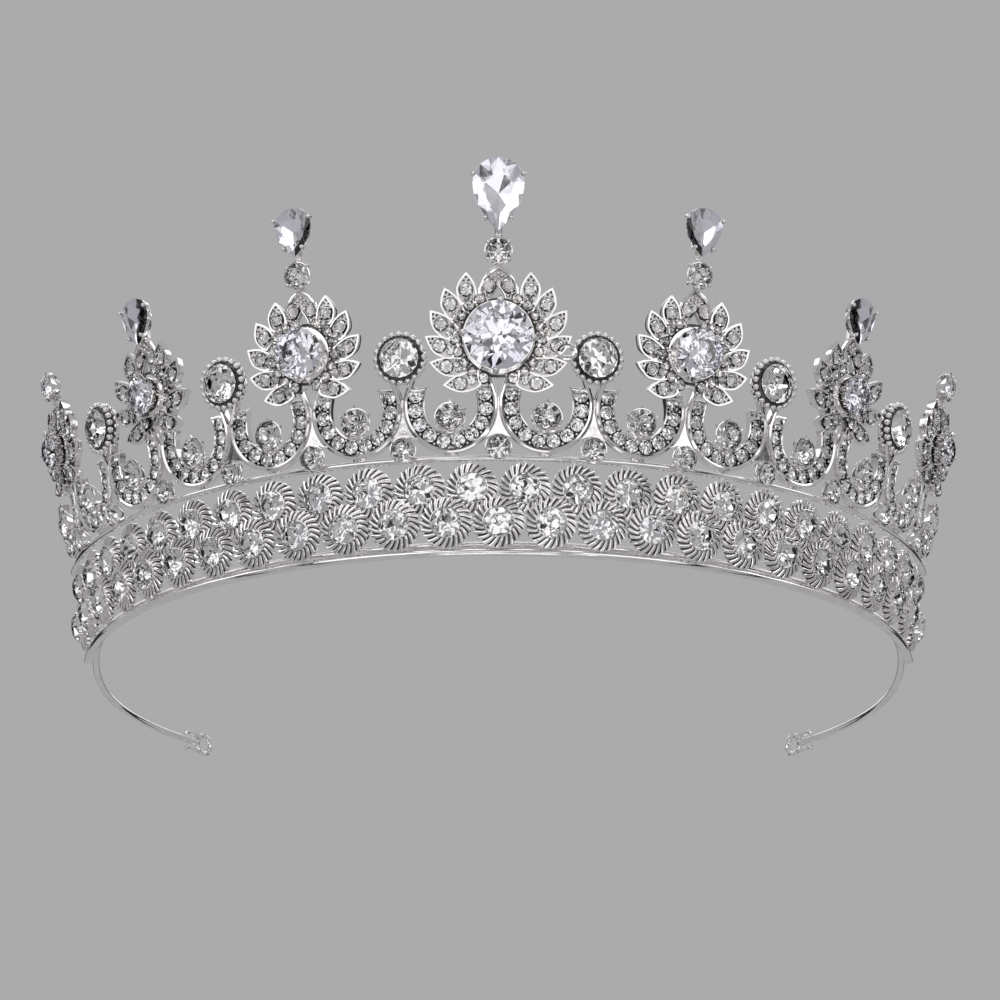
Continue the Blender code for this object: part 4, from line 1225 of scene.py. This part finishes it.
def pear_basket(length, width):
    """Ribbed cup for a pear stone: a shell, a rim under the girdle, ribs up the sides, and claws."""
    girdle = finial_girdle(width)
    rim = ((0.88, girdle - 0.0007), (0.97, girdle - 0.0007), (1.0, girdle - 0.0002), (0.90, girdle - 0.0002))
    shell = ((0.50, BACK_LIFT), (0.58, 0.0004), (0.90, girdle - 0.0008), (0.90, girdle - 0.0006))
    parts = [loft(pear_band(length, width, rim), closed=True), loft(pear_band(length, width, shell))]
    rib_foot = (0.62, 0.0008)
    rib_top = (0.96, girdle - 0.0003)
    for i in range(PEAR_RIBS):
        edge = pear_point(2 * math.pi * i / PEAR_RIBS, length, width)
        rib = [Vector((edge.x * share, edge.y * share, z)) for share, z in (rib_foot, rib_top)]
        parts.append(tube(rib, PEAR_RIB_WIRE, 6))
    wire = PEAR_CLAW_WIRE
    for angle in PEAR_CLAWS:
        edge = pear_point(math.radians(angle), length, width)
        out = edge.normalized()
        path = [Vector((edge.x * s + out.x * past, edge.y * s + out.y * past, z)) for s, past, z in (
            (0.62, 0.0, 0.0008),
            (1.0, wire * 0.8, girdle - wire),
            (1.0, wire * 0.8, girdle + wire * 0.4),
            (1.0, wire * 0.2, girdle + wire * 1.2),
        )]
        parts.append(tube(path, [wire, wire, wire, wire * 0.85], 6))
        parts.append((bead(wire * 1.2), Matrix.Translation(path[-1])))
    return gathered(parts)


def finial_places(size, finial):
    """Heights over the cluster's middle of the post's foot, the small round stone and the top stone."""
    foot = size.point + CLEARANCE
    middle_round = foot + finial.round_stone / 2
    below = foot + finial.round_stone + (FINIAL_NECK if finial.round_stone else -finial.drop)
    return foot, middle_round, below + finial.length / 2


def round_basket(diameter):
    return claw_cup(diameter, FINIAL_CLAW_FOOT, finial_girdle(diameter), FINIAL_CLAW_WIRE, FOUR_CLAWS)


def finial_metal(size, finial):
    """Post up the back, a basket for the top stone and, on the middle finials, a round one under it."""
    foot, middle_round, middle_top = finial_places(size, finial)
    half = FINIAL_POST / 2
    front = FINIAL_POST_FRONT
    section = ((-half, BACK_LIFT), (half, BACK_LIFT), (half * 0.7, front), (-half * 0.7, front))
    post = [[Vector((x, y, z)) for x, z in section] for y in (foot - 0.0004, foot + 0.0003, middle_top)]
    parts = [loft(post, slot=2)]
    if finial.round_stone:
        parts.append((round_basket(finial.round_stone), shifted(0, middle_round, 0)))
        neck = foot + finial.round_stone + FINIAL_NECK / 2
        parts.append((bead(NECK_BEAD), shifted(0, neck, NECK_BEAD_RISE)))
    if finial.length > finial.width:
        parts.append((pear_basket(finial.length, finial.width), shifted(0, middle_top, 0)))
    else:
        parts.append((round_basket(finial.width), shifted(0, middle_top, 0)))
    return gathered(parts)


def build_heads():
    for rank, (size, finial) in enumerate(zip(CLUSTERS, FINIALS)):
        metal, stones = cluster_meshes(size)
        if rank == 0:
            link = wire_ring(LINK_HALF_WIDTH, LINK_HALF_HEIGHT, LINK_WIRE, 24, 8)
            metal = gathered([metal, (link, shifted(*LINK_PLACE))])
        holder = finial_metal(size, finial)
        big = brilliant(size.stone, reach=LOWER_REACH)
        small = brilliant(finial.round_stone) if finial.round_stone else None
        is_pear = finial.length > finial.width
        top = pear_cut(finial.length, finial.width) if is_pear else brilliant(finial.width)
        _, middle_round, middle_top = finial_places(size, finial)
        for side in (1,) if rank == 0 else (-1, 1):
            tail = "_centre" if rank == 0 else "_%s_%s" % (SIDES[side], RANKS[rank])
            here = on_wall(side * 2 * rank * SCROLL_STEP, HEAD_SEAT + CLEARANCE + size.foot, HEAD_PROUD)
            dressed("cast", "leaf_cluster" + tail, metal, METAL, here)
            dressed("pave", "leaf_cluster" + tail, stones, GLASS, here)
            at = here @ shifted(0, 0, size.rise) @ nudged(7 * rank + side)
            dressed("cut", "cluster_stone" + tail, big, GEM, at)
            dressed("cast", "finial_setting" + tail, holder, METAL, here)
            if small:
                at = here @ shifted(0, middle_round, finial_girdle(finial.round_stone))
                dressed("cut", "finial_round" + tail, small, GLASS, at)
            at = here @ shifted(0, middle_top, finial_girdle(finial.width))
            dressed("cut", "finial_stone" + tail, top, PEAR, at)


# Stage, light and camera

def flat_square(name, width, height, z=0.0):
    """One rectangle in its own xy plane, as a piece of the stage."""
    data = bpy.data.meshes.new(name)
    corners = [(x * width / 2, y * height / 2, z) for x, y in ((-1, -1), (1, -1), (1, 1), (-1, 1))]
    data.from_pydata(corners, [], [(0, 1, 2, 3)])
    obj = added(name, data)
    return obj


def build_stage():
    """Pale floor, seen from above only, because the photograph looks at the tiara from under its foot."""
    floor = flat_square("floor", FLOOR_SIZE, FLOOR_SIZE, -FLOOR_DROP)
    floor.visible_glossy = False
    floor.visible_transmission = False
    material, tree, shader = nodes_of("floor")
    tone = blended(tree, cloudy(tree, FLOOR_GRAIN), *FLOOR_TONES)
    tree.links.new(tone, shader.inputs["Base Color"])
    fill(shader, {"Roughness": 0.85})
    side = tree.nodes.new("ShaderNodeNewGeometry")
    through = tree.nodes.new("ShaderNodeBsdfTransparent")
    either = tree.nodes.new("ShaderNodeMixShader")
    tree.links.new(side.outputs["Backfacing"], either.inputs["Fac"])
    tree.links.new(shader.outputs["BSDF"], either.inputs[1])
    tree.links.new(through.outputs["BSDF"], either.inputs[2])
    tree.links.new(either.outputs["Shader"], tree.nodes["Material Output"].inputs["Surface"])
    floor.data.materials.append(material)


def aim(obj, azimuth, rise, distance, roll=0.0):
    """Puts an object at an azimuth, a height angle and a distance, with its -z towards the tiara."""
    a = math.radians(azimuth)
    e = math.radians(rise)
    away = Vector((math.sin(a) * math.cos(e), -math.cos(a) * math.cos(e), math.sin(e)))
    turn = away.to_track_quat("Z", "Y").to_matrix().to_4x4() @ spun(math.radians(roll))
    obj.matrix_world = Matrix.Translation(Vector((0, 0, AIM_HEIGHT)) + away * distance) @ turn


def dark_card(name, azimuth, rise, width, height, roll=0.0):
    """Black flag of a studio, seen only in what shines, so that polished metal and stones show some dark."""
    card = flat_square(name, width, height)
    material, tree, shader = nodes_of(name)
    tone = blended(tree, cloudy(tree, CARD_GRAIN), *CARD_TONES)
    tree.links.new(tone, shader.inputs["Base Color"])
    fill(shader, {"Roughness": 0.9})
    card.data.materials.append(material)
    aim(card, azimuth, rise, CARD_DISTANCE, roll)
    card.visible_camera = False
    card.visible_diffuse = False
    card.visible_shadow = False


def softbox(name, azimuth, rise, distance, size, glow):
    """Square area lamp of a given brightness, hidden from the camera."""
    data = bpy.data.lights.new(name, "AREA")
    data.shape = "SQUARE"
    data.size = size
    data.energy = glow * math.pi * size ** 2
    obj = added(name, data)
    aim(obj, azimuth, rise, distance)
    obj.visible_camera = False


def build_light():
    world = bpy.data.worlds.new("studio")
    bpy.context.scene.world = world
    world.use_nodes = True
    fill(world.node_tree.nodes["Background"], {"Color": WORLD_COLOUR, "Strength": WORLD_STRENGTH})
    for lamp in LAMPS:
        softbox(*lamp)
    for i, clock in enumerate(SPOKE_CLOCKS):
        across = SPOKE_RING * math.sin(math.radians(clock))
        above = SPOKE_RING * math.cos(math.radians(clock)) - math.degrees(VIEW_RISE)
        dark_card("card_spoke_%d" % i, across, above, *SPOKE_SIZE, clock)
    for i, azimuth in enumerate(UPRIGHT_CARDS):
        dark_card("card_upright_%d" % i, azimuth, UPRIGHT_RISE, UPRIGHT_WIDTH, CARD_LENGTH)
    for i, (azimuth, rise) in enumerate(LEVEL_CARDS):
        dark_card("card_level_%d" % i, azimuth, rise, CARD_LENGTH, LEVEL_WIDTH)
    for i, azimuth in enumerate(BEHIND_CARDS):
        dark_card("card_behind_%d" % i, azimuth, 0, BEHIND_WIDTH, CARD_LENGTH)


def build_camera():
    data = bpy.data.cameras.new("camera")
    data.lens = LENS
    data.sensor_width = 36.0
    data.shift_x = VIEW_SHIFT
    camera = added("camera", data)
    back = Vector((0, -math.cos(VIEW_RISE), -math.sin(VIEW_RISE)))
    up = Vector((0, -math.sin(VIEW_RISE), math.cos(VIEW_RISE)))
    turn = Matrix((Vector((1, 0, 0)), up, back)).transposed().to_4x4()
    target = Vector((0, AXIS_Y - HOOP_RADIUS, VIEW_HEIGHT))
    camera.matrix_world = Matrix.Translation(target + back * VIEW_DISTANCE) @ turn
    bpy.context.scene.camera = camera


bpy.context.scene.view_settings.view_transform = "Standard"
build_hoop()
build_rails()
build_band()
build_gallery()
build_heads()
build_stage()
build_light()
build_camera()
